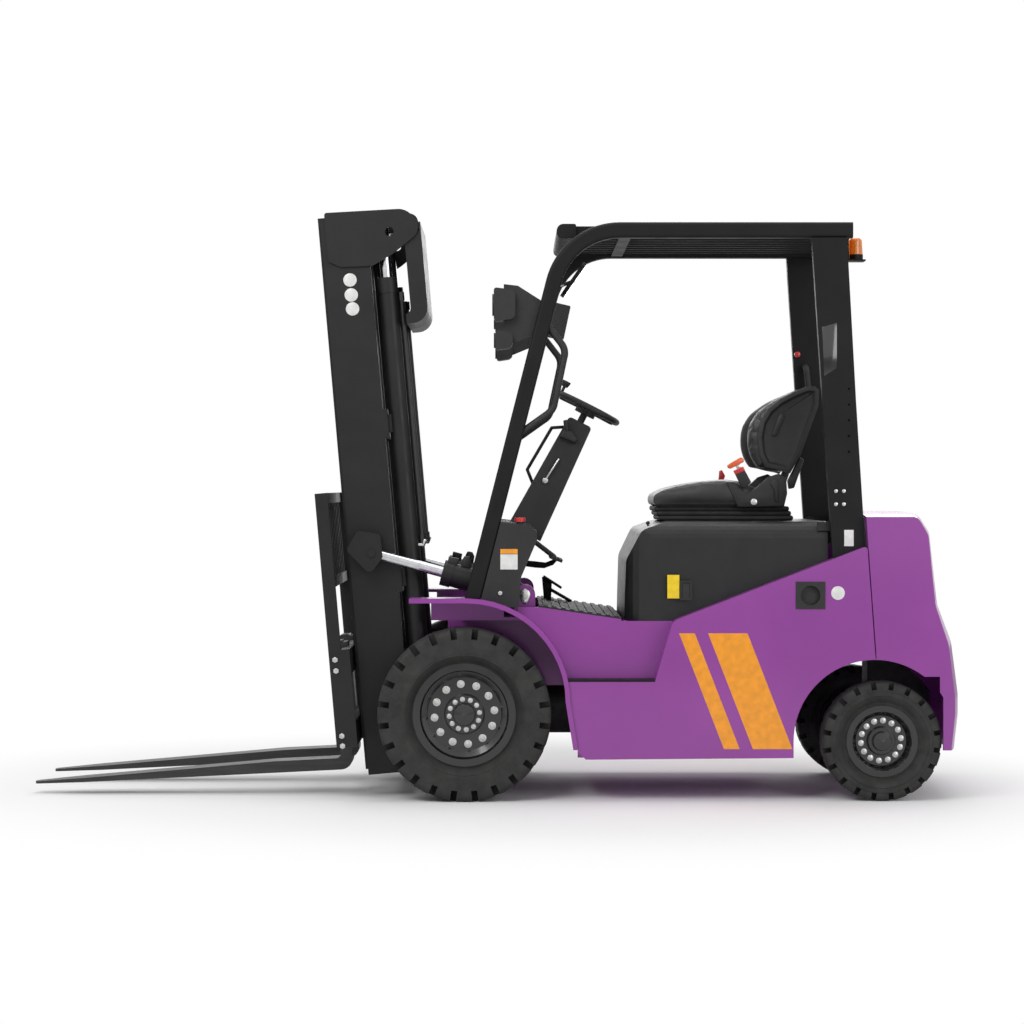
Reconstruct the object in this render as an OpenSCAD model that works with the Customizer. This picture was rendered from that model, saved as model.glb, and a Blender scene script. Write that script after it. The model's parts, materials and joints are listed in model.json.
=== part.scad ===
// Counterbalance forklift truck on four wheels, with a two-stage mast.
// +X points forward along the forks, +Y to the driver's left and +Z up.
// The origin lies on the floor, below the middle of the whole truck.
// Most sizes are counted from the front axle: x forward, z up from the floor.
// Mast pieces are drawn in the mast's own frame: u forward and w up along the
// rails, from the tilt pivot on the front axle.

/* [Overall] */
// Distance from the front axle to the rear axle
wheelbase = 1590; // [1570:5:1640]
// Width over the side panels
body_w = 1110; // [1090:2:1130]
// Height of the side panels' lower edge above the floor
skirt_z = 160; // [140:5:190]
// Height of the driver's floor where it meets the hood
floor_z = 690; // [680:2:700]
// Distance from the rear axle to the back of the counterweight
rear_overhang = 322; // [316:1:350]
// Height of the counterweight's top
counterweight_z = 1098; // [1085:1:1130]

/* [Front wheels] */
// Outer diameter of a front tyre
front_tyre_d = 660; // [640:2:670]
// Width of a front tyre
front_tyre_w = 190; // [170:2:196]
// Distance between the middles of the front tyres
front_track = 970; // [960:2:990]
// Diameter of a front rim over its lip
front_rim_d = 392; // [370:2:410]
// Number of lugs round a front tyre
front_lugs = 24; // [18:1:30]

/* [Rear wheels] */
// Outer diameter of a rear tyre
rear_tyre_d = 455; // [440:1:460]
// Width of a rear tyre
rear_tyre_w = 144; // [130:2:150]
// Distance between the middles of the rear tyres
rear_track = 950; // [936:2:960]
// Diameter of a rear rim over its lip
rear_rim_d = 272; // [256:2:284]
// Number of lugs round a rear tyre
rear_lugs = 20; // [16:1:24]
// Distance from a kingpin to the middle of its tyre
kingpin_offset = 90; // [86:1:94]
// Diameter of a kingpin
kingpin_d = 36; // [28:1:42]

/* [Mast] */
// Forward lean of the mast at rest, in degrees
mast_lean = 5; // [4:0.25:5.5]
// Width of the mast over the outer rails
mast_w = 670; // [660:2:676]
// Depth of a rail from front to back
rail_depth = 178; // [168:1:182]
// Width of a rail's flanges
rail_flange = 58; // [50:1:60]
// Thickness of a rail's web and flanges
rail_wall = 20; // [16:1:24]
// Length of the outer rails
rail_len = 2152; // [2100:4:2180]
// Distance from the tilt pivot to the rails' back face
rail_back = 217; // [214:1:222]
// Depth of the lower rail ends below the tilt pivot
rail_drop = 217; // [200:1:225]
// How far the inner rails stand in front of the outer rails
inner_step = 13; // [12:0.5:16]
// Outer diameter of a lift cylinder
lift_barrel_d = 76; // [64:1:76]
// Diameter of a lift cylinder's rod
lift_rod_d = 45; // [36:1:50]
// Outer diameter of a tilt cylinder
tilt_barrel_d = 92; // [80:1:96]
// Diameter of a tilt cylinder's rod
tilt_rod_d = 40; // [32:1:44]

/* [Forks] */
// Length of a fork blade in front of its shank
fork_len = 1200; // [1000:10:1400]
// Width of a fork blade
fork_w = 120; // [100:2:130]
// Thickness of a fork
fork_t = 45; // [38:1:48]
// Distance between the middles of the forks
fork_spread = 470; // [440:5:600]
// Width of the carriage and the load backrest
carriage_w = 1040; // [1000:5:1080]
// Height of the load backrest's top above the tilt pivot, along the mast
backrest_top = 886; // [860:2:1000]

/* [Overhead guard] */
// Height of the guard's roof above the floor
roof_z = 2207; // [2190:1:2230]
// Width of the guard's tube
guard_tube = 60; // [54:1:62]
// Backward lean of the front legs, in degrees
leg_lean = 14.3; // [13.8:0.1:14.6]
// Outer radius of the bend between a leg and the roof
guard_bend_r = 290; // [260:2:300]
// Number of bars in the roof grille
roof_bars = 9; // [7:1:11]

/* [Cab] */
// Outer diameter of the steering wheel
steer_wheel_d = 283; // [260:1:286]
// Width of the seat cushion
seat_w = 480; // [460:2:500]
// Thickness of the hood's wall
hood_wall = 12; // [8:1:14]

/* [Hidden] */
$fn = 48;
// Gap between flat faces that move apart, and between a shaft and its bore
face_gap = 0.3;
run_fit = 0.05;
// Shut line between the side panels and the counterweight
shut_gap = 4;
plate = 12;

// Places on the truck, from the front axle
front_r = front_tyre_d / 2;
rear_r = rear_tyre_d / 2;
half_w = body_w / 2;
wall_y = half_w - 80;
rear_x = -wheelbase;
tail_x = -wheelbase - rear_overhang;
kingpin_y = rear_track / 2 - kingpin_offset;

// The mast frame leans forward round the tilt pivot
lean_s = sin(mast_lean);
lean_c = cos(mast_lean);
pivot_z = front_r;
rail_front = rail_back + rail_depth;
rail_y = mast_w / 2;
rail_top = rail_len - rail_drop;

// Carriage and forks, in the mast frame
bar_t = 32;
bar_front = rail_front + inner_step + 40;
fork_back = bar_front + 5;
fork_front = fork_back + fork_t;
fork_rise = 2.2;
fork_low = -191;
fork_tip_t = 9;
fork_tip_u = fork_front + fork_len;
fork_tip_w = fork_low + fork_len * tan(fork_rise);

// Middle of the truck between the fork tips and the counterweight
fork_tip_x = fork_tip_u * lean_c + (fork_tip_w + fork_tip_t) * lean_s;
middle_x = (fork_tip_x + tail_x) / 2;

// General shapes

function unit(v) = v / norm(v);
function reverse(list) = [for (i = [len(list) - 1:-1:0]) list[i]];
function turn(a) = a > 180 ? a - 360 : a < -180 ? a + 360 : a;

// Points of one corner of an outline, rounded with radius r
function corner(before, at, after, r, steps) =
  let (
    to_before = unit(before - at),
    to_after = unit(after - at),
    half = acos(to_before * to_after) / 2,
    mid = at + unit(to_before + to_after) * r / sin(half),
    first = at + to_before * r / tan(half) - mid,
    last = at + to_after * r / tan(half) - mid,
    a0 = atan2(first[1], first[0]),
    sweep = turn(atan2(last[1], last[0]) - a0)
  )
  r <= 0 ? [at] : [for (i = [0:steps]) mid + r * [cos(a0 + sweep * i / steps), sin(a0 + sweep * i / steps)]];

// Outline through points [x, z, radius], with each corner rounded
function rounded(points, steps = 6) =
  let (n = len(points))
  [for (i = [0:n - 1])
    let (p = points[(i + n - 1) % n], q = points[i], s = points[(i + 1) % n])
    each corner([p[0], p[1]], [q[0], q[1]], [s[0], s[1]], q[2], steps)];

// Shifts the axle frame to the truck's own origin
module truck() {
  translate([-middle_x, 0, 0]) children();
}

// Leans a shape drawn in the mast frame (u along X, w along Z)
module on_mast() {
  truck() translate([0, 0, pivot_z]) rotate([0, mast_lean, 0]) children();
}

// Draws a shape on the left and its mirror image on the right
module both_sides() {
  children();
  mirror([0, 1, 0]) children();
}

// Side view outline in the x-z plane, between y0 and y1
module slab(y0, y1) {
  translate([0, y1, 0]) rotate([90, 0, 0]) linear_extrude(y1 - y0) children();
}

module box(low, high) {
  translate(low) cube(high - low);
}

// Round bar across the truck between y0 and y1
module cross_bar(x, z, d, y0, y1) {
  translate([x, y1, z]) rotate([90, 0, 0]) cylinder(d = d, h = y1 - y0);
}

// Round bar between two points
module rod_between(a, b, d) {
  v = b - a;
  translate(a) rotate([0, acos(v[2] / norm(v)), atan2(v[1], v[0])]) cylinder(d = d, h = norm(v));
}

// Front mudguards: a flat top, a quarter arc behind the wheel and a flared foot

fender_top = front_tyre_d + 112;
fender_r = 393;
fender_mid = [-10, fender_top - fender_r];
fender_front = 210;
fender_foot = [-432, 197];
fender_t = 5;
fender_lip = 18;
fender_in_y = half_w - 135;
fender_out_y = half_w + 10;

// Side line of the mudguard, moved inwards by d
function fender_line(d) = [
  [fender_front, fender_top - d],
  each [for (a = [0:7.5:90]) fender_mid + (fender_r - d) * [-sin(a), cos(a)]],
  [fender_foot[0] + d, fender_foot[1]]
];

// All of the side view that lies under the mudguard, grown by a gap
module under_fender(gap) {
  floor_line = -50;
  polygon([
    each fender_line(-gap),
    [fender_foot[0] - gap, floor_line],
    [fender_front, floor_line]
  ]);
}

module fenders() {
  color("#8a3f92") truck() both_sides() {
    slab(fender_in_y, fender_out_y) polygon(concat(fender_line(0), reverse(fender_line(fender_t))));
    slab(fender_out_y - 6, fender_out_y) polygon(concat(fender_line(0), reverse(fender_line(fender_lip))));
  }
}

// Welded frame: battery tub, floor, front rails, deck and tilt cylinder lugs

tub_back = rear_x + 340;
tub_front = -440;
hood_front = -613;
floor_back = hood_front + 13;
floor_front = -285;
floor_rise = 46;
deck_z = floor_z - 7;
deck_t = 12;
deck_top = deck_z + deck_t;
deck_front = 20;
deck_ear = 130;
deck_ear_y = rail_y + 10;
rail_plate_y = 200;
axle_pad_z = pivot_z + 90;
tilt_y = rail_y + 50;
tilt_eye_w = 36;
tilt_pin_d = 32;
tilt_back = [-231, 780];
lug_r = 40;

// Front face of the counterweight, seen from the side
seam_low = [rear_x + 23, 535];
seam_high = [rear_x + 64, counterweight_z];
function seam_x(z) =
  seam_low[0] + (seam_high[0] - seam_low[0]) * (z - seam_low[1]) / (seam_high[1] - seam_low[1]);

// Tunnel over the rear axle
arch_mid = [rear_x + 30, 230];
arch_r = 309;
arch_back = rear_x - 230;
module rear_arch(grow) {
  intersection() {
    union() {
      translate(arch_mid) circle(r = arch_r + grow);
      translate([arch_mid[0] - arch_r - grow, -50]) square([2 * (arch_r + grow), arch_mid[1] + 50]);
    }
    translate([arch_back - grow, -60]) square([1000, 1000]);
  }
}

module tilt_lug() {
  cheek = 12;
  inner = tilt_eye_w / 2 + 0.5;
  for (side = [-1, 1])
    slab(tilt_y + side * (inner + cheek / 2) - cheek / 2, tilt_y + side * (inner + cheek / 2) + cheek / 2) {
      translate(tilt_back) circle(r = lug_r);
      translate([tilt_back[0] - lug_r, deck_top - 1]) square([2 * lug_r, tilt_back[1] - deck_top + 1]);
    }
  cross_bar(tilt_back[0], tilt_back[1], tilt_pin_d, tilt_y - inner - cheek - 4, tilt_y + inner + cheek + 4);
}

module frame() {
  inside = wall_y - plate;
  color("#7b3583") truck() {
    // Side walls, seen in the entry recess above the steps
    both_sides() slab(inside, wall_y) difference() {
      polygon([
        [floor_front + 85, floor_z + floor_rise],
        [floor_front, floor_z + floor_rise],
        [floor_back, floor_z],
        [floor_back, deck_z],
        [tub_back, deck_z],
        [tub_back, skirt_z],
        [tub_front + 20, skirt_z]
      ]);
      under_fender(face_gap);
    }
    // Sloping floor, bottom, and the walls before and behind the battery
    slab(-inside - 1, inside + 1) polygon([
      [floor_front, floor_z + floor_rise],
      [floor_back, floor_z],
      [floor_back, floor_z - plate],
      [floor_front, floor_z + floor_rise - plate]
    ]);
    box([tub_back, -inside - 1, skirt_z], [tub_front, inside + 1, skirt_z + plate]);
    box([hood_front - plate, -inside - 1, skirt_z], [hood_front, inside + 1, deck_z]);
    box([tub_back, -wall_y, skirt_z], [tub_back + plate, wall_y, deck_z]);
    box([tub_front - plate, -inside - 1, skirt_z], [tub_front, inside + 1, deck_z]);
    // Bridge over the rear axle, up to the counterweight's face
    slab(-wall_y, wall_y) polygon([
      [tub_back + 1, deck_z],
      [seam_x(deck_z) + face_gap, deck_z],
      [seam_x(deck_z - 125) + face_gap, deck_z - 125],
      [tub_back + 1, deck_z - 125]
    ]);
    // Front rails that stand on the drive axle, and the deck over them
    both_sides() {
      box([tub_front - 1, rail_plate_y, axle_pad_z], [70, rail_plate_y + 2 * plate, deck_z + 1]);
      box([deck_front - 1, deck_ear_y, deck_z], [deck_ear, fender_in_y, deck_top]);
      slab(fender_in_y - plate, fender_in_y) intersection() {
        translate([-150, deck_z]) square([150 + deck_ear, fender_top - deck_z]);
        under_fender(-fender_t);
      }
      tilt_lug();
    }
    box([tub_front - 1, -fender_in_y, deck_z], [deck_front, fender_in_y, deck_top]);
  }
}

// Side panels between the step, the hood, the arch and the counterweight

panel_top_front = [-793, deck_z + 4];
panel_top_z = counterweight_z - 126;
panel_top_back = [seam_x(panel_top_z) + shut_gap, panel_top_z];
step_back = [-724, 455];
function panel_top(x) =
  panel_top_front[1] + (panel_top_back[1] - panel_top_front[1])
  * (x - panel_top_front[0]) / (panel_top_back[0] - panel_top_front[0]);

port_mid = [-1315, 784];
port_size = [112, 104];
port_depth = 30;

module panel_outline() {
  difference() {
    polygon(rounded([
      [fender_foot[0] - 30, skirt_z, 0],
      [tub_back, skirt_z + 6, 0],
      [seam_low[0] + shut_gap, skirt_z + 6, 0],
      [seam_low[0] + shut_gap, seam_low[1], 0],
      [panel_top_back[0], panel_top_back[1], 12],
      [panel_top_front[0], panel_top_front[1], 40],
      [step_back[0], step_back[1], 0],
      [fender_foot[0] + 40, step_back[1], 0],
      [fender_foot[0] + 10, fender_foot[1], 0]
    ]));
    under_fender(face_gap);
    rear_arch(0);
  }
}

module side_panels() {
  color("#93419a") truck() {
    difference() {
      slab(wall_y, half_w) panel_outline();
      translate([port_mid[0], half_w, port_mid[1]])
        cube([port_size[0], 2 * port_depth, port_size[1]], center = true);
    }
    slab(-half_w, -wall_y) panel_outline();
  }
}

module charge_port() {
  lip = 3;
  color("#1b1b1d") truck() translate([port_mid[0], half_w - port_depth, port_mid[1]]) difference() {
    translate([-port_size[0] / 2, 0, -port_size[1] / 2])
      cube([port_size[0], port_depth + lip, port_size[1]]);
    translate([0, port_depth + lip, 0]) rotate([90, 0, 0]) cylinder(d = 74, h = 22);
  }
}

// Steps hung below the entry on each side

module steps() {
  step_t = 9;
  color("#262628") truck() both_sides()
    slab(wall_y, half_w) difference() {
      translate([step_back[0], step_back[1]]) square([fender_foot[0] - step_back[0] + 40, step_t]);
      under_fender(1);
    }
}

mat_t = 6;
module floor_mat() {
  inside = wall_y - 2;
  up = floor_rise / (floor_front - floor_back);
  rib = 34;
  color("#1d1d1f") truck() {
    slab(-inside, inside) polygon([
      [floor_front, floor_z + floor_rise],
      [floor_back, floor_z],
      [floor_back, floor_z + mat_t],
      [floor_front, floor_z + floor_rise + mat_t]
    ]);
    for (x = [floor_back + rib / 2:rib:floor_front - rib / 2])
      slab(-inside, inside) polygon([
        [x - rib / 4, floor_z + (x - rib / 4 - floor_back) * up + mat_t - 1],
        [x + rib / 4, floor_z + (x + rib / 4 - floor_back) * up + mat_t - 1],
        [x + rib / 4, floor_z + (x + rib / 4 - floor_back) * up + mat_t + 4],
        [x - rib / 4, floor_z + (x - rib / 4 - floor_back) * up + mat_t + 4]
      ]);
  }
}

// Traction battery: one closed block on the tub's bottom

module battery() {
  side_gap = 18;
  front_gap = 80;
  color("#3a3d42") truck()
    box([tub_back + plate + side_gap, -wall_y + plate + side_gap, skirt_z + plate],
        [hood_front - plate - front_gap, wall_y - plate - side_gap, hood_top - 164]);
}

// Cast counterweight: a lofted tail with a tunnel and a round pocket for each steered wheel

tail_low = 195;
tail_bow = 48;
tail_drop = 16;
rear_shoulder = 30;
steer_out = kingpin_offset + rear_tyre_w / 2 - rear_shoulder;
steer_sweep = norm([rear_r - rear_shoulder, steer_out]) + rear_shoulder;
pocket_r = steer_sweep + 8;
pocket_top = rear_tyre_d + 20;
tow_x = tail_x + 70;
tow_z = 505;
tow_pin_d = 32;

tail_line = rounded([
  [seam_high[0], seam_high[1], 0],
  [tail_x + 164, counterweight_z, 40],
  [tail_x + 117, counterweight_z - 70, 60],
  [tail_x + 86, 756, 120],
  [tail_x + 27, 601, 120],
  [tail_x, 400, 150],
  [tail_x, 330, 150],
  [tail_x + 16, tail_low, 0],
  [seam_x(tail_low), tail_low, 0]
], 4);

// Section of the tail at a share t of its half width: the corners sweep forward and down
function tail_section(t) = [
  for (p = tail_line)
    let (
      back = max(0, (seam_low[0] - p[0]) / (seam_low[0] - tail_x)),
      up = max(0, (p[1] - tail_low) / (counterweight_z - tail_low))
    )
    let (z = p[1] - up * tail_drop * pow(abs(t), 4))
    [min(p[0] + back * tail_bow * pow(abs(t), 4), seam_x(z)), z]
];

module tail_loft() {
  shares = [for (i = [-8:8]) sin(i * 90 / 8)];
  n = len(tail_line);
  rows = len(shares);
  points = [for (t = shares) each [for (p = tail_section(t)) [p[0], t * half_w, p[1]]]];
  polyhedron(points, concat(
    [[for (j = [0:n - 1]) n - 1 - j]],
    [[for (j = [0:n - 1]) (rows - 1) * n + j]],
    [for (i = [0:rows - 2], j = [0:n - 1])
      each [[i * n + j, i * n + (j + 1) % n, (i + 1) * n + (j + 1) % n],
        [i * n + j, (i + 1) * n + (j + 1) % n, (i + 1) * n + j]]]
  ));
}

module counterweight() {
  color("#93419a") truck() difference() {
    tail_loft();
    slab(-half_w - 10, half_w + 10) rear_arch(0);
    for (side = [-1, 1])
      translate([rear_x, side * kingpin_y, -50]) cylinder(r = pocket_r, h = pocket_top + 50);
    // Towing slot and its vertical pin bore, open at the top
    box([tail_x - 60, -60, tow_z - 35], [tow_x + 40, 60, tow_z + 35]);
    translate([tow_x, 0, tow_z - 75]) cylinder(d = tow_pin_d, h = 500);
  }
}

// Overhead guard: two bent frames, two rear pillars and a roof grille

guard_y = half_w - 45;
guard_in_y = guard_y - guard_tube;
guard_edge = 12;
leg_foot = -2;
guard_back = -1483;
guard_corner = [leg_foot - (roof_z - fender_top) * tan(leg_lean), roof_z];
guard_tangent = guard_bend_r * tan((90 - leg_lean) / 2);
bend_mid = [guard_corner[0] - guard_tangent, roof_z - guard_bend_r];
roof_low = roof_z - guard_tube;

// Front and back edge of a leg at height z
function leg_front(z) = leg_foot - (z - fender_top) * tan(leg_lean);
function leg_back(z) = leg_front(z) - guard_tube / cos(leg_lean);

module guard_section() {
  t = guard_tube;
  polygon(rounded([[0, 0, guard_edge], [t, 0, guard_edge], [t, t, guard_edge], [0, t, guard_edge]], 4));
}

module guard_frame() {
  leg = (roof_z - fender_top) / cos(leg_lean) - guard_tangent + guard_tube;
  difference() {
    translate([guard_corner[0] + guard_tangent * sin(leg_lean), 0, roof_z - guard_tangent * cos(leg_lean)])
      rotate([0, -leg_lean, 0])
      translate([-guard_tube, guard_in_y, -leg])
      linear_extrude(leg) guard_section();
    box([-500, 0, 0], [500, guard_y + 10, fender_top]);
  }
  translate([bend_mid[0], 0, bend_mid[1]])
    rotate([90, 0, 0])
    rotate([0, 0, leg_lean])
    rotate_extrude(angle = 90 - leg_lean)
    translate([guard_bend_r - guard_tube, -guard_y]) guard_section();
  translate([bend_mid[0], 0, 0])
    rotate([0, -90, 0])
    translate([roof_low, guard_in_y, 0])
    linear_extrude(bend_mid[0] - guard_back) guard_section();
}

module guard_frames() {
  color("#1a1a1c") truck() both_sides() guard_frame();
}

pillar_top = [-1325, -1459];
pillar_low = [-1405, -1528];
pillar_t = 38;
pillar_y = wall_y;
hinge = [-1422, 1050];
hinge_d = 24;

module rear_pillars() {
  holes = [for (z = [1330:60:1570]) z];
  color("#19191b") truck() both_sides() difference() {
    slab(pillar_y, pillar_y + pillar_t) polygon([
      [pillar_top[0], roof_low],
      [pillar_top[1], roof_low],
      [pillar_low[1] + 35, 1528],
      [pillar_low[1], panel_top(pillar_low[1]) + face_gap],
      [pillar_low[0], panel_top(pillar_low[0]) + face_gap]
    ]);
    cross_bar(hinge[0], hinge[1], hinge_d + 2 * run_fit, pillar_y - 1, pillar_y + 24);
    for (z = holes)
      cross_bar(pillar_low[1] + 62, z, 9, pillar_y + pillar_t - 12, pillar_y + pillar_t + 1);
  }
}

header_front = -353;
header_back = -428;
roof_beam = 46;

module roof_grille() {
  bar_w = 14;
  bar_low = roof_low + 14;
  bar_top = roof_z - 8;
  span = 2 * guard_in_y - 90;
  color("#161618") truck() {
    // Header with round ends, ahead of the bends
    slab(-guard_in_y + 20, guard_in_y - 20) polygon(rounded([
      [header_front, roof_low + 4, 20],
      [header_front, roof_z, 26],
      [header_back, roof_z, 8],
      [header_back, roof_low + 4, 8]
    ]));
    for (x = [bend_mid[0] - roof_beam, guard_back])
      box([x, -guard_in_y, roof_low + 6], [x + roof_beam, guard_in_y, roof_z - 6]);
    for (i = [0:roof_bars - 1])
      translate([guard_back + 1, -span / 2 + i * span / (roof_bars - 1) - bar_w / 2, bar_low])
        cube([header_back - guard_back, bar_w, bar_top - bar_low]);
  }
}

// Fittings on the guard

beacon_at = [-1518, 300];
beacon_d = 64;

module beacon() {
  shelf = 6;
  base_z = 2072;
  color("#e07a10") truck() {
    box([beacon_at[0] - 34, beacon_at[1] - 40, base_z],
        [guard_back - face_gap, beacon_at[1] + 40, base_z + shelf]);
    box([guard_back - shelf, beacon_at[1] - 40, base_z], [guard_back, beacon_at[1] + 40, roof_z - 10]);
    translate([beacon_at[0], beacon_at[1], base_z + shelf - 1]) cylinder(d = beacon_d - 8, h = 22);
    translate([beacon_at[0], beacon_at[1], base_z + shelf + 20]) rotate_extrude() polygon(rounded([
      [0, 0, 0], [beacon_d / 2 - 4, 0, 0], [beacon_d / 2 - 8, 66, 14], [0, 66, 0]
    ]));
  }
}

lamp_y = guard_y - 95;
lamp_w = 96;

// Housing with a round lens that looks forward
module lamp_pod(x, z, depth, height, lens) {
  translate([0, lamp_y, 0]) {
    slab(0, lamp_w) polygon(rounded([
      [x, z - height / 2, 10], [x, z + height / 2, 10],
      [x - depth, z + height / 2 - 10, 22], [x - depth, z - height / 2 + 10, 22]
    ], 4));
    translate([x - 1, lamp_w / 2, z]) rotate([0, 90, 0]) cylinder(d = lens, h = 7);
  }
}

lamp_z = roof_z - 314;
small_lamp_z = lamp_z - 136;
lamp_x = leg_front(lamp_z) + 176;

module lamps() {
  arm = leg_front(lamp_z);
  color("#222225") truck() both_sides() difference() {
    union() {
      lamp_pod(lamp_x, lamp_z, 82, 130, 84);
      lamp_pod(lamp_x - 6, small_lamp_z, 66, 78, 58);
      // Bracket from the leg to both lamps
      slab(guard_in_y + 18, guard_in_y + 26) polygon([
        [lamp_x - 38, lamp_z + 79], [lamp_x - 92, lamp_z + 73], [arm - 12, lamp_z + 12],
        [leg_front(small_lamp_z) - 8, small_lamp_z + 19], [lamp_x - 38, small_lamp_z - 27]
      ]);
    }
    guard_frame_hollow();
  }
}

// The leg's own space, used to cut what is fastened on it
module guard_frame_hollow() {
  slab(guard_in_y, guard_y) polygon([
    [leg_front(fender_top), fender_top], [leg_front(roof_low), roof_low],
    [leg_back(roof_low), roof_low], [leg_back(fender_top), fender_top]
  ]);
}

// Tube along a flat line of points [x, z]; a bend of radius r, a little thicker, holds both its ends
module bent_tube(points, d, r) {
  sleeve = 1;
  tuck = 2;
  last = len(points) - 1;
  along = [for (i = [0:last - 1]) unit(points[i + 1] - points[i])];
  bend = [for (i = [0:last]) i == 0 || i == last ? 0 : acos(along[i - 1] * along[i])];
  trim = [for (angle = bend) angle == 0 ? 0 : r * tan(angle / 2) - tuck];
  rotate([90, 0, 0]) for (i = [0:last - 1]) {
    reach = norm(points[i + 1] - points[i]) - trim[i] - trim[i + 1];
    translate(points[i] + along[i] * trim[i])
      rotate([0, 0, atan2(along[i][1], along[i][0])])
      rotate([0, 90, 0]) cylinder(d = d, h = reach);
    if (i > 0) {
      left = along[i - 1][0] * along[i][1] > along[i - 1][1] * along[i][0] ? 1 : -1;
      normal = left * [-along[i - 1][1], along[i - 1][0]];
      mid = points[i] - along[i - 1] * (trim[i] + tuck) + normal * r;
      first = atan2(-normal[1], -normal[0]);
      translate(mid) rotate([0, 0, left > 0 ? first : first - bend[i]])
        rotate_extrude(angle = bend[i]) translate([r, 0]) circle(d = d + sleeve);
    }
  }
}

module grab_handles() {
  handle_d = 27;
  handle_bend = 60;
  stand_off = 52;
  high = roof_z - 372;
  low = high - 450;
  color("#2b2b2e") truck() {
    both_sides() difference() {
      translate([0, guard_y - guard_tube / 2, 0])
        bent_tube([
          [leg_back(high) + 35, high], [leg_back(high - 113) - 81, high - 113],
          [leg_back(low + 105) - 91, low + 105], [leg_back(low) + 30, low]
        ], handle_d, handle_bend);
      guard_frame_hollow();
    }
    // Reversing handle on the right rear pillar
    translate([-1410, -pillar_y, 1605]) rotate([0, 6, 0]) rotate([0, 0, 90])
      bent_tube([[face_gap, 90], [stand_off, 90], [stand_off, -90], [face_gap, -90]], handle_d - 3, 28);
  }
}

module rear_mirror() {
  glass = 92;
  stem_z = roof_z - 252;
  stem_x = leg_back(stem_z) + 30;
  mid = [stem_x - 90, guard_in_y - 65, stem_z + 35];
  color("#c9cdd2") truck() difference() {
    union() {
      translate(mid) rotate([0, -35, 0]) rotate([90, 0, 90]) linear_extrude(16) {
        for (s = [-1, 1]) translate([0, s * 34]) circle(d = glass);
        square([glass, 68], center = true);
      }
      rod_between(mid + [6, 0, 0], [stem_x, guard_in_y + 12, stem_z], 14);
    }
    box([stem_x - 200, guard_in_y, stem_z - 100], [stem_x + 100, guard_y, stem_z + 100]);
  }
}

module display() {
  at = [leg_back(roof_z - 329) + 33, roof_z - 329];
  color("#202023") truck() difference() {
    union() {
      slab(-guard_in_y + 10, -guard_in_y + 130) polygon(rounded([
        [at[0] - 40, at[1] + 77, 6], [at[0] - 110, at[1] + 61, 6],
        [at[0] - 81, at[1] - 76, 6], [at[0] - 11, at[1] - 60, 6]
      ], 3));
      box([at[0] - 34, -guard_in_y - 20, at[1] - 28], [at[0] + 11, -guard_in_y + 14, at[1] + 22]);
    }
    mirror([0, 1, 0]) guard_frame_hollow();
  }
}

// Driver's place: console with side pods, column, steering wheel and pedals

console_y = half_w - 255;
pod_y = guard_in_y;
pod_low = floor_z + floor_rise + face_gap;

module console_line(front) {
  polygon([
    [front, deck_top], [front, 775], [front - 68, 1062], [-250, 1050],
    [-277, 1023], [-277, 993], [-216, 851], [-208, deck_top]
  ]);
}

module dash() {
  button = [-212, guard_y - 28, 1048];
  color("#1f1f22") truck() {
    slab(-console_y, console_y) console_line(-64);
    both_sides() slab(pod_y, guard_y) difference() {
      polygon(rounded([
        [leg_back(fender_top) - face_gap, fender_top, 0],
        [leg_back(1062) - face_gap, 1062, 0],
        [-250, 1050, 14], [-277, 1023, 10], [-277, 993, 10],
        [-216, 851, 40], [-208, pod_low, 0], [leg_back(fender_top), pod_low, 0]
      ], 4));
      under_fender(0);
    }
    translate(button) {
      cylinder(d = 26, h = 16);
      translate([0, 0, 15]) cylinder(d = 42, h = 16);
    }
  }
}

wheel_at = [-483, 1511];
column_lean = 26.9;
shaft_d = 28;
column_top = 64;
column_foot_z = 1012;
column_len = (wheel_at[1] - column_foot_z) / cos(column_lean);

module on_column() {
  truck() translate([wheel_at[0], 0, wheel_at[1]]) rotate([0, -column_lean, 0]) children();
}

module steering_column() {
  color("#2a2a2d") difference() {
    on_column() difference() {
      slab(-58, 58) polygon(rounded([
        [-50, -column_top, 14], [50, -column_top, 14],
        [72, -column_len, 0], [-72, -column_len, 0]
      ], 4));
      translate([0, 0, -column_top - 80]) cylinder(d = shaft_d + 2 * run_fit, h = 100);
    }
    truck() slab(-console_y, console_y) console_line(-64);
  }
}

module steering_wheel() {
  rim_d = 26;
  r = steer_wheel_d / 2 - rim_d / 2;
  color("#1c1c1e") on_column() {
    rotate_extrude() translate([r, 0]) circle(d = rim_d);
    for (a = [90, 210, 330])
      rotate([0, 0, a]) translate([0, -14, -16]) cube([r, 28, 11]);
    translate([0, 0, -30]) cylinder(d = 84, h = 34);
    translate([0, 0, -column_top - 70]) cylinder(d = shaft_d, h = 60 + column_top);
    rotate([0, 0, 20]) translate([r, 0, 6]) {
      cylinder(d = 12, h = 30);
      translate([0, 0, 26]) cylinder(d1 = 24, d2 = 34, h = 16);
      translate([0, 0, 42]) cylinder(d = 34, h = 8);
    }
  }
}

module pedals() {
  pad = [52, 86, 12];
  color("#202022") truck() difference() {
    union() {
      for (y = [-30, 150]) {
        rod_between([-230, y, 1010], [-352, y, 916], 18);
        translate([-355, y, 912]) rotate([0, -20, 0]) cube(pad, center = true);
      }
      translate([-300, -170, deck_top]) rotate([0, 36, 0]) translate([0, -45, 0]) cube([12, 90, 210]);
      box([-275, -215, deck_top], [-240, -125, deck_top + 40]);
    }
    slab(-console_y, console_y) console_line(-64);
    slab(-wall_y, wall_y) polygon([
      [floor_front, deck_top], [floor_front, floor_z + floor_rise + mat_t + 5],
      [floor_back, floor_z + mat_t + 5], [floor_back, deck_top]
    ]);
    box([-500, -wall_y, 0], [0, wall_y, deck_top]);
  }
}

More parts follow.
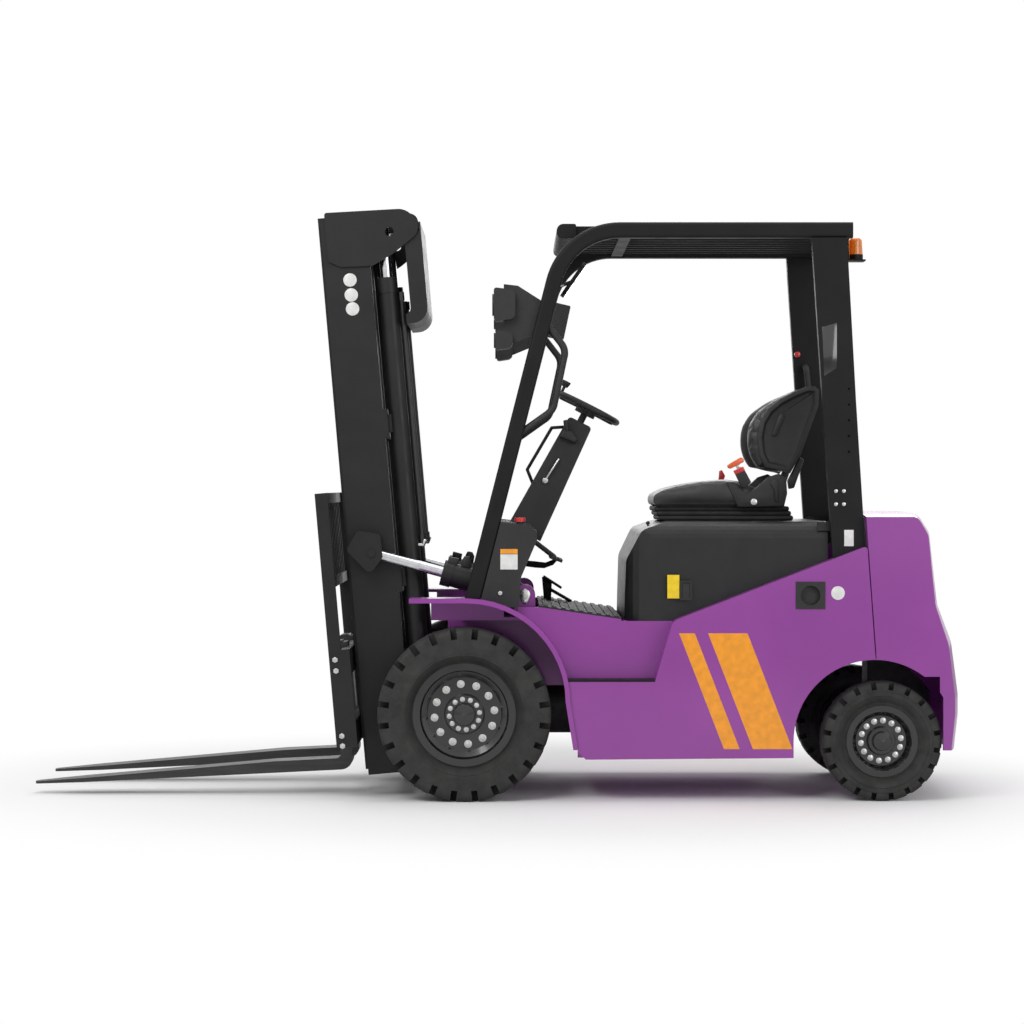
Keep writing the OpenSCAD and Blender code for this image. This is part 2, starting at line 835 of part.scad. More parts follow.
// Hood with the seat: one lid over the battery, hinged on the rear pillars

hood_low = deck_z + face_gap;
hood_top = 1064;
hood_back = -1390;
hood_half = wall_y - 3;

// Outer form of the hood, moved inwards by d
module hood_form(d) {
  low = d > 0 ? hood_low - 10 : hood_low;
  back = d > 0 ? hood_back - 10 : hood_back;
  side = hood_half - d;
  intersection() {
    slab(-hood_half, hood_half) polygon(rounded([
      [hood_front - d, low, 0],
      [hood_front - 8 - d, 916, 60],
      [hood_front - 66 - d * 0.7, 1031 - d * 0.7, 50],
      [hood_front - 165 - d * 0.2, hood_top - d, 60],
      [back, hood_top - d, 0],
      [back, low, 0]
    ]));
    translate([0, 0, low]) linear_extrude(hood_top) polygon(rounded([
      [back, -side, 0], [hood_front - d, -side, 110 - d],
      [hood_front - d, side, 110 - d], [back, side, 0]
    ]));
    translate([back, 0, 0]) rotate([90, 0, 90]) linear_extrude(hood_front - back) polygon(rounded([
      [-side, low, 0], [-side, hood_top - d, 64 - d],
      [side, hood_top - d, 64 - d], [side, low, 0]
    ]));
  }
}

module hood() {
  ear = 16;
  ear_y = pillar_y - 2;
  color("#1b1b1d") truck() {
    difference() {
      hood_form(0);
      hood_form(hood_wall);
    }
    both_sides() difference() {
      union() {
        slab(ear_y - ear, ear_y) {
          translate(hinge) circle(d = 44);
          translate([hinge[0], hinge[1] - 22]) square([hood_back - hinge[0] + 40, 34]);
        }
        cross_bar(hinge[0], hinge[1], hinge_d, ear_y - 4, pillar_y + 22);
      }
      hood_form(1);
    }
  }
}

module seat_bellows() {
  half = 215;
  fold = 22;
  color("#151517") truck() for (i = [0:2])
    translate([-1010, 0, hood_top + i * fold]) linear_extrude(i == 2 ? fold + 6 : fold) {
      inset = i % 2 == 0 ? 0 : 12;
      polygon(rounded([
        [-262 + inset, -half + inset, 40], [258 - inset, -half + inset, 40],
        [258 - inset, half - inset, 40], [-262 + inset, half - inset, 40]
      ], 4));
    }
}

cushion_low = hood_top + 72;
module seat_cushion() {
  color("#222224") truck() slab(-seat_w / 2, seat_w / 2) polygon(rounded([
    [-735, cushion_low, 14], [-728, cushion_low + 36, 20], [-800, cushion_low + 62, 50],
    [-1075, cushion_low + 92, 30], [-1120, cushion_low + 60, 20], [-1280, cushion_low + 40, 10],
    [-1285, cushion_low, 14]
  ], 4));
}

module seat_back() {
  half = seat_w / 2 - 5;
  low = cushion_low + 60;
  bracket = 8;
  pivot = [-1236, low + 50];
  color("#202022") truck() {
    slab(-half, half) polygon(rounded([
      [-1112, low + 44, 30], [-1148, 1390, 80], [-1240, 1548, 60], [-1350, 1597, 30],
      [-1414, 1583, 24], [-1395, 1480, 60], [-1318, low + 6, 20], [-1180, low + 6, 10]
    ], 4));
    // Recliner brackets on the cushion's sides
    both_sides() {
      slab(seat_w / 2, seat_w / 2 + bracket) {
        translate(pivot) circle(d = 60);
        translate([pivot[0] - 30, cushion_low + 8]) square([60, pivot[1] - cushion_low - 8]);
      }
      cross_bar(pivot[0], pivot[1], 30, half - 5, seat_w / 2 + bracket);
    }
  }
}

// Axles, wheels and steering

axle_d = 130;
spindle_d = 90;
front_hub_y = front_track / 2;
axle_end = front_hub_y - front_tyre_w / 2 - 8;
hub_reach = 30;

module drive_axle() {
  bell_r = 150;
  bell_y = 150;
  pad_w = 44;
  color("#232326") truck() {
    translate([0, 0, pivot_z]) {
      rotate([90, 0, 0]) {
        cylinder(d = axle_d, h = 2 * axle_end, center = true);
        cylinder(d = spindle_d, h = 2 * (front_hub_y + hub_reach), center = true);
        rotate_extrude() polygon(rounded([
          [0, -bell_y, 0], [axle_d / 2 + 12, -bell_y, 0], [bell_r, -bell_y + 90, 50],
          [bell_r, bell_y - 90, 50], [axle_d / 2 + 12, bell_y, 0], [0, bell_y, 0]
        ]));
      }
      // Traction motor behind the gear case
      translate([-120, 0, 0]) rotate([0, -90, 0]) cylinder(d = 230, h = 300);
    }
    both_sides() box([-60, rail_plate_y - 10, pivot_z], [60, rail_plate_y - 10 + pad_w, axle_pad_z]);
  }
}

// Tyre section: bead, bulged side wall and round shoulder
module tyre_section(r, w, bead_r, bead_w, shoulder) {
  polygon(rounded([
    [bead_r, -bead_w / 2, 0],
    [bead_r + 26, -bead_w / 2, 8],
    [bead_r + 48, -w / 2, 26],
    [r, -w / 2, shoulder],
    [r, w / 2, shoulder],
    [bead_r + 48, w / 2, 26],
    [bead_r + 26, bead_w / 2, 8],
    [bead_r, bead_w / 2, 0]
  ], 5));
}

// Rim section: bed, two lips, a dished disc and a hub with a blind bore
module rim_section(lip_r, bead_r, bead_w, dish, disc_r, hub_r, bore_r, reach, cap_r, hub_back) {
  wall = 9;
  lip = 9;
  out = bead_w / 2 + lip;
  polygon([
    [bead_r - wall, -out], [lip_r, -out], [lip_r, -bead_w / 2], [bead_r, -bead_w / 2],
    [bead_r, bead_w / 2], [lip_r, bead_w / 2], [lip_r, out], [bead_r - wall, out],
    [bead_r - wall - 6, dish + 16], [disc_r, dish], [hub_r, dish], [hub_r - 6, dish + 22],
    [cap_r, dish + 22], [cap_r - 5, dish + 44], [0, dish + 48], [0, reach], [bore_r, reach],
    [bore_r, hub_back], [hub_r, hub_back], [hub_r, dish - 14], [disc_r, dish - 14],
    [bead_r - wall, dish - 10]
  ]);
}

// Turns a wheel drawn round Z so that its outer side looks to the left
module wheel_at_axle(x, y, z) {
  truck() translate([x, y, z]) rotate([-90, 0, 0]) children();
}

// Notches across both shoulders of a tyre, between its lugs
module lug_notches(r, w, count, depth, reach) {
  pitch = 360 / count;
  width = 0.27 * PI * 2 * r / count;
  for (side = [-1, 1], i = [0:count - 1])
    rotate([0, 0, (i + (side + 1) / 4) * pitch])
      translate([r - depth, -width / 2, side > 0 ? w / 2 - reach : -w / 2 - 1])
      cube([depth + 1, width, reach + 1]);
}

front_bead_r = front_rim_d / 2 - 18;
front_bead_w = 126;
module front_tyre() {
  difference() {
    rotate_extrude() tyre_section(front_r, front_tyre_w, front_bead_r, front_bead_w, 24);
    lug_notches(front_r, front_tyre_w, front_lugs, 42, 52);
  }
}

module front_rim() {
  rotate_extrude() rim_section(front_rim_d / 2, front_bead_r, front_bead_w, 24, 140, 78,
    spindle_d / 2 + run_fit, hub_reach + run_fit, 44, -front_bead_w / 2 + 10);
}

module front_tyre_left() {
  color("#242426") wheel_at_axle(0, front_hub_y, pivot_z) front_tyre();
}

module front_tyre_right() {
  color("#242426") mirror([0, 1, 0]) wheel_at_axle(0, front_hub_y, pivot_z) front_tyre();
}

module front_rim_left() {
  color("#151516") wheel_at_axle(0, front_hub_y, pivot_z) front_rim();
}

module front_rim_right() {
  color("#151516") mirror([0, 1, 0]) wheel_at_axle(0, front_hub_y, pivot_z) front_rim();
}

boss_r = 32;
boss_h = 104;
ear_gap = 0.5;
ear_t = 18;
steer_beam = 56;
knuckle_in = boss_r + 12;
knuckle_out = knuckle_in + 16;
rear_bead_r = rear_rim_d / 2 - 14;
rear_bead_w = 104;
rear_spindle_d = 50;
rear_reach = 26;

module rear_tyre() {
  difference() {
    rotate_extrude() tyre_section(rear_r, rear_tyre_w, rear_bead_r, rear_bead_w, 20);
    lug_notches(rear_r, rear_tyre_w, rear_lugs, 30, 40);
  }
}

module rear_rim() {
  rotate_extrude() rim_section(rear_rim_d / 2, rear_bead_r, rear_bead_w, 22, 96, 56,
    rear_spindle_d / 2 + run_fit, rear_reach + run_fit, 38, knuckle_out + 1 - kingpin_offset);
}

module rear_tyre_left() {
  color("#242426") wheel_at_axle(rear_x, rear_track / 2, rear_r) rear_tyre();
}

module rear_tyre_right() {
  color("#242426") mirror([0, 1, 0]) wheel_at_axle(rear_x, rear_track / 2, rear_r) rear_tyre();
}

module rear_rim_left() {
  color("#151516") wheel_at_axle(rear_x, rear_track / 2, rear_r) rear_rim();
}

module rear_rim_right() {
  color("#151516") mirror([0, 1, 0]) wheel_at_axle(rear_x, rear_track / 2, rear_r) rear_rim();
}

// Beam with a boss at each kingpin, a steering cylinder and its pedestal
web_y = 85;
web_z = rear_r + 100;
module steer_axle() {
  color("#202023") truck() translate([rear_x, 0, 0]) {
    difference() {
      union() {
        box([-steer_beam / 2, -kingpin_y, rear_r - 42], [steer_beam / 2, kingpin_y, rear_r + 42]);
        for (side = [-1, 1])
          translate([0, side * kingpin_y, rear_r - boss_h / 2]) cylinder(r = boss_r, h = boss_h);
      }
      for (side = [-1, 1])
        translate([0, side * kingpin_y, 0]) cylinder(d = kingpin_d + 2 * run_fit, h = 600);
    }
    box([20, -60, rear_r - 30], [60, 60, rear_r + 30]);
    cross_bar(75, rear_r, 66, -150, 150);
    // Pedestal, and the web on it that bears the counterweight
    box([-60, -web_y, rear_r + 41], [0, web_y, web_z + 1]);
    translate([-rear_x, 0, 0]) slab(-web_y, web_y) intersection() {
      translate([arch_back, web_z]) square([rear_x - arch_back, 600]);
      rear_arch(0);
    }
  }
}

module knuckle() {
  half = boss_h / 2 + ear_gap;
  translate([rear_x, kingpin_y, rear_r]) {
    for (side = [-1, 1]) {
      translate([0, 0, side > 0 ? half : -half - ear_t]) {
        cylinder(r = boss_r, h = ear_t);
        translate([-boss_r, 0, 0]) cube([2 * boss_r, knuckle_in + 1, ear_t]);
      }
    }
    cylinder(d = kingpin_d, h = 2 * half + 2, center = true);
    box([-boss_r, knuckle_in, -half - ear_t], [boss_r, knuckle_out, half + ear_t]);
    translate([0, knuckle_in + 1, 0]) rotate([-90, 0, 0])
      cylinder(d = rear_spindle_d, h = kingpin_offset + rear_reach - knuckle_in - 1);
  }
}

module knuckle_left() {
  color("#28282b") truck() knuckle();
}

module knuckle_right() {
  color("#28282b") mirror([0, 1, 0]) truck() knuckle();
}

// Outer mast, in the mast frame

// Channel with its web on the outer side
module rail_section(u0, y_out) {
  f = rail_flange;
  t = rail_wall;
  translate([u0, y_out - f]) difference() {
    square([rail_depth, f]);
    translate([t, -1]) square([rail_depth - 2 * t, f - t + 1]);
  }
}

module outer_rails() {
  color("#161618") on_mast() both_sides()
    translate([0, 0, -rail_drop]) linear_extrude(rail_len) rail_section(rail_back, rail_y);
}

cross_t = 16;
trunnion_w = 44;
trunnion_r = axle_d / 2 + 34;
top_plate_t = 12;
tie_u = 52;
tie_w = rail_top - 32;
tie_d = 70;
lift_u = rail_back - cross_t - lift_barrel_d / 2 - 4;
lift_y = rail_y - 46;

// Mast pin of a tilt cylinder, in the mast frame
tilt_front_x = 360;
tilt_front_z = 941;
tilt_u = tilt_front_x * lean_c - (tilt_front_z - pivot_z) * lean_s;
tilt_w = tilt_front_x * lean_s + (tilt_front_z - pivot_z) * lean_c;

module top_plate_line() {
  polygon(rounded([
    [rail_front - 18, rail_top + 32, 10], [60, rail_top + 22, 70], [-4, rail_top - 60, 50],
    [120, rail_top - 145, 60], [rail_back - 10, rail_top - 188, 30], [rail_front - 64, rail_top - 182, 20],
    [rail_front - 18, rail_top - 158, 10]
  ]));
}

module outer_cross() {
  sling = [130, rail_top - 62];
  color("#19191b") on_mast() {
    // Cross plates behind the rails
    for (w = [-rail_drop + 20, 480, 1080])
      box([rail_back - cross_t, -rail_y, w], [rail_back, rail_y, w + 110]);
    // Rear chain anchors
    both_sides()
      box([pulley_u - pulley_r - 6, chain_y - chain_w, chain_anchor - 30],
          [rail_back - cross_t + 1, chain_y + chain_w, chain_anchor]);
    // Top side plates, tied by a tube behind the cylinders
    both_sides() difference() {
      slab(rail_y, rail_y + top_plate_t) top_plate_line();
      cross_bar(sling[0], sling[1], 36, rail_y - 1, rail_y + top_plate_t + 1);
    }
    cross_bar(tie_u, tie_w, tie_d, -rail_y - 1, rail_y + 1);
    both_sides() {
      // Trunnion arm with the ring round the axle
      difference() {
        slab(rail_y - trunnion_w, rail_y) {
          circle(r = trunnion_r);
          polygon([[-20, trunnion_r - 3], [rail_back, 110], [rail_back, -130], [-10, -trunnion_r + 1]]);
        }
        cross_bar(0, 0, axle_d + 2 * run_fit, 0, rail_y + 1);
      }
      // Clevis for the tilt cylinder
      for (y = [rail_y, tilt_y + tilt_eye_w / 2 + 2])
        slab(y, y + (y == rail_y ? tilt_y - tilt_eye_w / 2 - 2 - rail_y : 14)) polygon(rounded([
          [tilt_u + 46, tilt_w + 90, 14], [tilt_u + 96, tilt_w + 20, 20],
          [tilt_u + 12, tilt_w - 82, 20], [tilt_u - 42, tilt_w - 20, 16], [tilt_u - 40, tilt_w + 70, 16]
        ], 4));
      cross_bar(tilt_u, tilt_w, 30, rail_y + 1, tilt_y + tilt_eye_w / 2 + 24);
    }
  }
}

lift_low = 112;
lift_high = 1700;
lift_collar = 60;
module lift_barrels() {
  color("#141416") on_mast() both_sides() {
    difference() {
      union() {
        translate([lift_u, lift_y, lift_low]) cylinder(d = lift_barrel_d, h = lift_high - lift_low);
        translate([lift_u, lift_y, lift_high - lift_collar])
          cylinder(d = lift_barrel_d + 6, h = lift_collar);
        // Foot and clamps against the cross plates
        for (w = [500, 1100])
          box([lift_u, lift_y - 26, w], [rail_back - cross_t, lift_y + 26, w + 70]);
      }
      translate([lift_u, lift_y, lift_low + 24]) cylinder(d = lift_rod_d + 2 * run_fit, h = 2000);
    }
  }
}

// Curved strip behind the top of the cylinders, on the tie tube
module mast_guard() {
  strip = 8;
  back = tie_u - tie_d / 2 - strip;
  front = lift_u - 64;
  low = rail_top - 422;
  bend = 60;
  outer = corner([back, tie_w], [back, low], [front, low], bend, 6);
  inner = corner([back + strip, tie_w], [back + strip, low + strip], [front, low + strip], bend - strip, 6);
  cheek = [66, 36];
  cheek_top = tie_w - tie_d / 2 - 1;
  cheek_corner = [back + cheek[0], low + cheek[1]];
  cheek_in = corner([cheek_corner[0], cheek_top], cheek_corner, [front, cheek_corner[1]], 24, 6);
  color("#1a1a1c") on_mast() {
    slab(-rail_y, rail_y) polygon([
      [back, tie_w], each outer, [front, low],
      [front, low + strip], each reverse(inner), [back + strip, tie_w]
    ]);
    both_sides() slab(rail_y - strip, rail_y) polygon([
      [back, cheek_top], each outer, [front, low],
      [front, low + cheek[1]], each reverse(cheek_in), [back + cheek[0], cheek_top]
    ]);
  }
}

hose_d = 16;
hose_low = 660;
hose_nut = 34;
hose_nut_d = hose_d + 8;

// Two hoses that lie on each lift cylinder, with a nut at each end
module mast_hoses() {
  reach = (lift_barrel_d + hose_nut_d) / 2 + face_gap;
  high = lift_high - lift_collar;
  color("#101011") on_mast() both_sides() for (a = [0, 36])
    translate([lift_u - reach * cos(a), lift_y - reach * sin(a), 0]) {
      translate([0, 0, hose_low]) cylinder(d = hose_d, h = high - hose_low);
      for (w = [hose_low, high - hose_nut])
        translate([0, 0, w]) cylinder(d = hose_nut_d, h = hose_nut, $fn = 6);
    }
}

// Inner mast: rails, ties, guide rollers and the cylinders' rods

inner_u = rail_back + inner_step;
inner_y = rail_y - rail_flange - 8;
inner_low = -rail_drop + 17;
inner_len = rail_len + 3;
inner_top = inner_low + inner_len;
roller_d = rail_depth - 2 * rail_wall - 2 * face_gap;
chain_w = 22;
chain_y = 150;
pulley_r = 46;
pulley_u = inner_u - 30;
chain_t = 14;
chain_anchor = 590;
chain_front_low = 330;
pulley_w = inner_top - 90;

module inner_mast() {
  color("#1b1b1d") on_mast() {
    both_sides() {
      translate([0, 0, inner_low]) linear_extrude(inner_len) rail_section(inner_u, inner_y);
      // Guide roller in the outer rail
      cross_bar(rail_back + rail_depth / 2, inner_low + 110, roller_d, inner_y - 1, rail_y - rail_wall - 3);
    }
    // Top tie over the rods, a lower tie, and the chain pulleys on their axle
    box([lift_u - 30, -inner_y, inner_top - 30], [inner_u + 1, inner_y, inner_top]);
    box([inner_u, -inner_y, inner_low + 20], [inner_u + 14, inner_y, inner_low + 90]);
    both_sides() {
      box([lift_u - 30, inner_y - 1, inner_top - 30], [lift_u + 34, lift_y + 26, inner_top]);
      cross_bar(pulley_u, pulley_w, 2 * (pulley_r - chain_t), chain_y - chain_w / 2, chain_y + chain_w / 2);
    }
    cross_bar(pulley_u, pulley_w, 26, -inner_y - 1, inner_y + 1);
    both_sides() box([pulley_u - 20, inner_y - 14, pulley_w - 20], [inner_u + 1, inner_y, inner_top]);
  }
}

module lift_rods() {
  color("#c4c7cb") on_mast() both_sides()
    translate([lift_u, lift_y, lift_low + 60]) cylinder(d = lift_rod_d, h = inner_top - 30 - lift_low - 60);
}

// Leaf chain over its pulley, down to the outer mast behind and to the carriage in front
module lift_chains() {
  color("#4a4a4c") on_mast() both_sides() slab(chain_y - chain_w / 2, chain_y + chain_w / 2) {
    difference() {
      translate([pulley_u, pulley_w]) circle(r = pulley_r);
      translate([pulley_u, pulley_w]) circle(r = pulley_r - chain_t);
      translate([pulley_u - 100, pulley_w - 200]) square([200, 200]);
    }
    translate([pulley_u - pulley_r, chain_anchor + face_gap])
      square([chain_t, pulley_w - chain_anchor - face_gap]);
    translate([pulley_u + pulley_r - chain_t, chain_front_low])
      square([chain_t, pulley_w - chain_front_low]);
  }
}

// Fork carriage, load backrest and forks

bar_back = bar_front - bar_t;
upper_bar = [190, 285];
lower_bar = [-85, 10];
carriage_y = carriage_w / 2;
roller_y = inner_y - rail_flange - 11;

module carriage() {
  anchor = [chain_front_low - 30, chain_front_low + 20];
  slot = chain_w / 2 + 3;
  roller_u = inner_u + rail_depth / 2;
  color("#1d1d20") on_mast() {
    for (bar = [upper_bar, lower_bar])
      box([bar_back, -carriage_y, bar[0]], [bar_front, carriage_y, bar[1]]);
    both_sides() {
      box([bar_back, carriage_y - 14, lower_bar[0]], [bar_front, carriage_y, upper_bar[1]]);
      box([inner_u + 32, roller_y - 22, lower_bar[0]], [bar_back + 1, roller_y, upper_bar[1] + 105]);
      for (w = [lower_bar[0] + 65, upper_bar[1] + 45])
        cross_bar(roller_u, w, roller_d, roller_y - 1, inner_y - rail_wall - 3);
      // Chain anchor, open behind the chain
      difference() {
        box([pulley_u + 26, chain_y - slot - 12, anchor[0]], [inner_u + 70, roller_y - 21, anchor[1]]);
        box([pulley_u + 25, chain_y - slot, anchor[0] - 1],
            [pulley_u + pulley_r + 6, chain_y + slot, anchor[1] + 1]);
      }
    }
  }
}

module load_backrest() {
  depth = 48;
  leg_w = 30;
  rail = 40;
  low = 520;
  bars = 9;
  span = carriage_w - 2 * leg_w;
  color("#151517") on_mast() {
    both_sides()
      box([bar_front, carriage_y - leg_w, lower_bar[0]], [bar_front + depth, carriage_y, backrest_top]);
    for (w = [low, backrest_top - rail])
      box([bar_front + 12, -carriage_y + 1, w], [bar_front + depth, carriage_y - 1, w + rail]);
    for (i = [1:bars])
      translate([bar_front + 16, -span / 2 + i * span / (bars + 1) - 6, low + 1])
        cube([depth - 22, 12, backrest_top - low - rail]);
  }
}

module fork() {
  hook = 14;
  hook_h = 24;
  heel_r = 45;
  full = 260;
  rise = tan(fork_rise);
  intersection() {
    slab(-fork_w / 2, fork_w / 2) {
      polygon(rounded([
        [fork_back, upper_bar[1] + hook_h, 6],
        [fork_front, upper_bar[1] + hook_h, 14],
        [fork_front, fork_low + fork_t, 18],
        [fork_front + full, fork_low + fork_t + full * rise, 0],
        [fork_tip_u, fork_tip_w + fork_tip_t, 0],
        [fork_tip_u, fork_tip_w, 0],
        [fork_back, fork_low - fork_t * rise, heel_r]
      ]));
      translate([bar_front - hook, upper_bar[1]]) square([fork_back - bar_front + hook + 1, hook_h - 6]);
      translate([bar_front - hook, lower_bar[0] - hook_h - face_gap])
        square([fork_back - bar_front + hook + 1, hook_h]);
    }
    translate([0, 0, -400]) linear_extrude(1200) polygon(rounded([
      [0, -fork_w / 2, 0], [fork_tip_u - 190, -fork_w / 2, 60], [fork_tip_u, -fork_w / 2 + 34, 18],
      [fork_tip_u, fork_w / 2 - 34, 18], [fork_tip_u - 190, fork_w / 2, 60], [0, fork_w / 2, 0]
    ]));
  }
}

module forks() {
  color("#1c1c1f") on_mast() both_sides() translate([0, fork_spread / 2, 0]) fork();
}

// Tilt cylinders between the frame's lugs and the mast

tilt_reach = [tilt_front_x - tilt_back[0], tilt_front_z - tilt_back[1]];
tilt_len = norm(tilt_reach);
tilt_angle = atan2(tilt_reach[1], tilt_reach[0]);
tilt_barrel_end = 330;
tilt_eye_r = 33;
// Play at the rod's eye, where the linkage is open
tilt_play = 6;

// Frame along a left tilt cylinder, from its rear pin
module on_tilt() {
  truck() translate([tilt_back[0], tilt_y, tilt_back[1]]) rotate([0, -tilt_angle, 0]) children();
}

module tilt_barrel() {
  difference() {
    union() {
      rotate([90, 0, 0]) cylinder(r = tilt_eye_r, h = tilt_eye_w, center = true);
      translate([20, 0, 0]) rotate([0, 90, 0]) cylinder(d = 34, h = 34);
      translate([46, 0, 0]) rotate([0, 90, 0]) cylinder(d = tilt_barrel_d, h = tilt_barrel_end - 46);
      translate([tilt_barrel_end - 40, 0, 0]) rotate([0, 90, 0]) cylinder(d = tilt_barrel_d + 8, h = 40);
    }
    rotate([90, 0, 0]) cylinder(d = tilt_pin_d + 2 * run_fit, h = 200, center = true);
    translate([58, 0, 0]) rotate([0, 90, 0]) cylinder(d = tilt_rod_d + 2 * run_fit, h = 400);
  }
}

module tilt_rod() {
  difference() {
    union() {
      translate([204, 0, 0]) rotate([0, 90, 0]) cylinder(d = tilt_rod_d, h = tilt_len - 204 - 20);
      translate([tilt_len, 0, 0]) rotate([90, 0, 0])
        cylinder(r = tilt_eye_r, h = tilt_eye_w - 2, center = true);
    }
    translate([tilt_len, 0, 0]) rotate([90, 0, 0]) cylinder(d = 30 + 2 * tilt_play, h = 200, center = true);
  }
}

module tilt_barrel_left() {
  color("#17171a") on_tilt() tilt_barrel();
}

module tilt_barrel_right() {
  color("#17171a") mirror([0, 1, 0]) on_tilt() tilt_barrel();
}

module tilt_rod_left() {
  color("#c4c7cb") on_tilt() tilt_rod();
}

module tilt_rod_right() {
  color("#c4c7cb") mirror([0, 1, 0]) on_tilt() tilt_rod();
}

frame();
side_panels();
fenders();
steps();
floor_mat();
dash();
pedals();
steering_column();
guard_frames();
rear_pillars();
roof_grille();
beacon();
lamps();
grab_handles();
rear_mirror();
display();
counterweight();
battery();
charge_port();
drive_axle();
steer_axle();
hood();
seat_bellows();
seat_cushion();
seat_back();
steering_wheel();
front_tyre_left();
front_tyre_right();
front_rim_left();
front_rim_right();
rear_tyre_left();
rear_tyre_right();
rear_rim_left();
rear_rim_right();
knuckle_left();
knuckle_right();
outer_rails();
outer_cross();
mast_guard();
lift_barrels();
mast_hoses();
inner_mast();
lift_rods();
lift_chains();
carriage();
load_backrest();
forks();
tilt_barrel_left();
tilt_barrel_right();
tilt_rod_left();
tilt_rod_right();
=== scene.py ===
# %% [markdown]
# # An electric counterbalance forklift truck
# The truck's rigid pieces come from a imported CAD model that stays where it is. This lesson
# dresses it: finishes for every surface, then the padded seat, chains, bolts, lenses and
# small fittings that a catalogue picture shows. All lengths are metres; +X points along the
# forks, +Y to the driver's left and +Z up.

# %% Load the truck
import json
import math
import bpy
from mathutils import Matrix, Vector


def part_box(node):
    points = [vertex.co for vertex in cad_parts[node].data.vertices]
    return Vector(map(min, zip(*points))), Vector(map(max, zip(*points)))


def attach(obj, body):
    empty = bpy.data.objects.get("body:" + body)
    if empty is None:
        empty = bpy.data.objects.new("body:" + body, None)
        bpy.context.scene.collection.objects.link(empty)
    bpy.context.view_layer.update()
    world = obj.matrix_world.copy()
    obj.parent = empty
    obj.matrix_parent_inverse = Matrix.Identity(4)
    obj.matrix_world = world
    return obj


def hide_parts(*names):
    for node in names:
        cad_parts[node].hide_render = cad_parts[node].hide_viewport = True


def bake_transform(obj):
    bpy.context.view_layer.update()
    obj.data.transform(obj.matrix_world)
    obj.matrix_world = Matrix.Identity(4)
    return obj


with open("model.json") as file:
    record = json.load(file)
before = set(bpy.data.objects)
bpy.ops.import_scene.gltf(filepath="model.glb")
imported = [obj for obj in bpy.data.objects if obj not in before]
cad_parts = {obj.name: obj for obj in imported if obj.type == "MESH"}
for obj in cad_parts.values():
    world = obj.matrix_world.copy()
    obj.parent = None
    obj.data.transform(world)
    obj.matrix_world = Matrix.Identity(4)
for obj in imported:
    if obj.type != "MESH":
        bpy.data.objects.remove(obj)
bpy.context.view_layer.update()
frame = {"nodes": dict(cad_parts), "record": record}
nodes = frame["nodes"]
slot_of = {part["node"]: part["material_slot"] for part in frame["record"]["subparts"]}

# %% [markdown]
# ## Camera
# The catalogue picture is taken from the truck's left side with a long lens, so parallel
# edges stay nearly parallel. A camera far away with a narrow angle gives that look. The lens
# sits level and a little above the middle of the frame, which a small vertical shift repeats
# without tilting the camera, so that upright edges stay upright.

# %% Side camera with a long lens
CAMERA_AT = (-0.0652, 11.2, 1.2033)
FOCAL_PIXELS = 2803.0
PICTURE = 1024.0
SENSOR = 36.0
AXIS_ROW = 485.0

lens = bpy.data.cameras.new("side_camera")
lens.sensor_width = SENSOR
lens.lens = FOCAL_PIXELS / PICTURE * SENSOR
lens.shift_y = (AXIS_ROW - PICTURE / 2) / PICTURE
camera = bpy.data.objects.new("side_camera", lens)
camera.location = CAMERA_AT
camera.rotation_euler = (math.radians(90), 0, math.radians(180))
bpy.context.scene.collection.objects.link(camera)
bpy.context.scene.camera = camera
print("camera lens %.1f mm" % lens.lens)

# %% [markdown]
# ## Working with nodes as expressions
# A material is a small program of nodes. Wiring each Math node by hand hides the idea, so one
# class wraps a socket: adding or multiplying two of them adds the Math node, and `node` adds
# any other kind with its settings first and its inputs next.

# %% A class that wraps sockets
class Wire:
    """A node socket whose arithmetic adds Math nodes to its tree."""

    def __init__(self, tree, socket=None):
        self.tree = tree
        self.socket = socket

    def node(self, kind, settings=None, inputs=None, out=0):
        made = self.tree.nodes.new(kind)
        for name, value in (settings or {}).items():
            if name == "stops":
                ramp = made.color_ramp
                while len(ramp.elements) < len(value):
                    ramp.elements.new(0.5)
                for element, (place, colour) in zip(ramp.elements, value):
                    element.position = place
                    element.color = (*colour, 1.0)
            else:
                setattr(made, name, value)
        for key, value in (inputs or {}).items():
            self.feed(made.inputs[key], value)
        return Wire(self.tree, made.outputs[out] if made.outputs else None)

    def feed(self, target, value):
        if isinstance(value, Wire):
            self.tree.links.new(value.socket, target)
        else:
            target.default_value = value

    def math(self, operation, *terms):
        return self.node("ShaderNodeMath", {"operation": operation}, dict(enumerate(terms)))

    def __add__(self, other):
        return self.math("ADD", self, other)

    def __mul__(self, other):
        return self.math("MULTIPLY", self, other)

    def clamped(self):
        return self.node("ShaderNodeClamp", {}, {0: self})


print("node expressions ready")

# %% [markdown]
# ## Light and floor
# The picture is a studio shot on white: big soft lamps, hardly any hard shadow, and a floor
# that fades into the backdrop. The world is white where the camera, a mirror or a lens looks
# at it, but lights the truck at a gentler strength. The floor is plain and pale and turns
# fully white further out, so no horizon shows while the truck keeps its contact shadow.

# %% World, floor and lamps
WORLD_LIGHT = 0.38
FLOOR_REACH = 60.0
FADE_START, FADE_END = 1.4, 2.7


def wires_of(owner):
    owner.use_nodes = True
    owner.node_tree.nodes.clear()
    return Wire(owner.node_tree)


world = bpy.data.worlds.new("studio")
bpy.context.scene.world = world
w = wires_of(world)
ray_kinds = ("Is Camera Ray", "Is Glossy Ray", "Is Transmission Ray")
looks, mirrors, passes = [w.node("ShaderNodeLightPath", out=kind) for kind in ray_kinds]
seen = (looks + mirrors + passes).clamped()
sky = w.node("ShaderNodeBackground", {},
             {"Color": (1, 1, 1, 1), "Strength": seen * (1 - WORLD_LIGHT) + WORLD_LIGHT})
w.node("ShaderNodeOutputWorld", {}, {"Surface": sky})

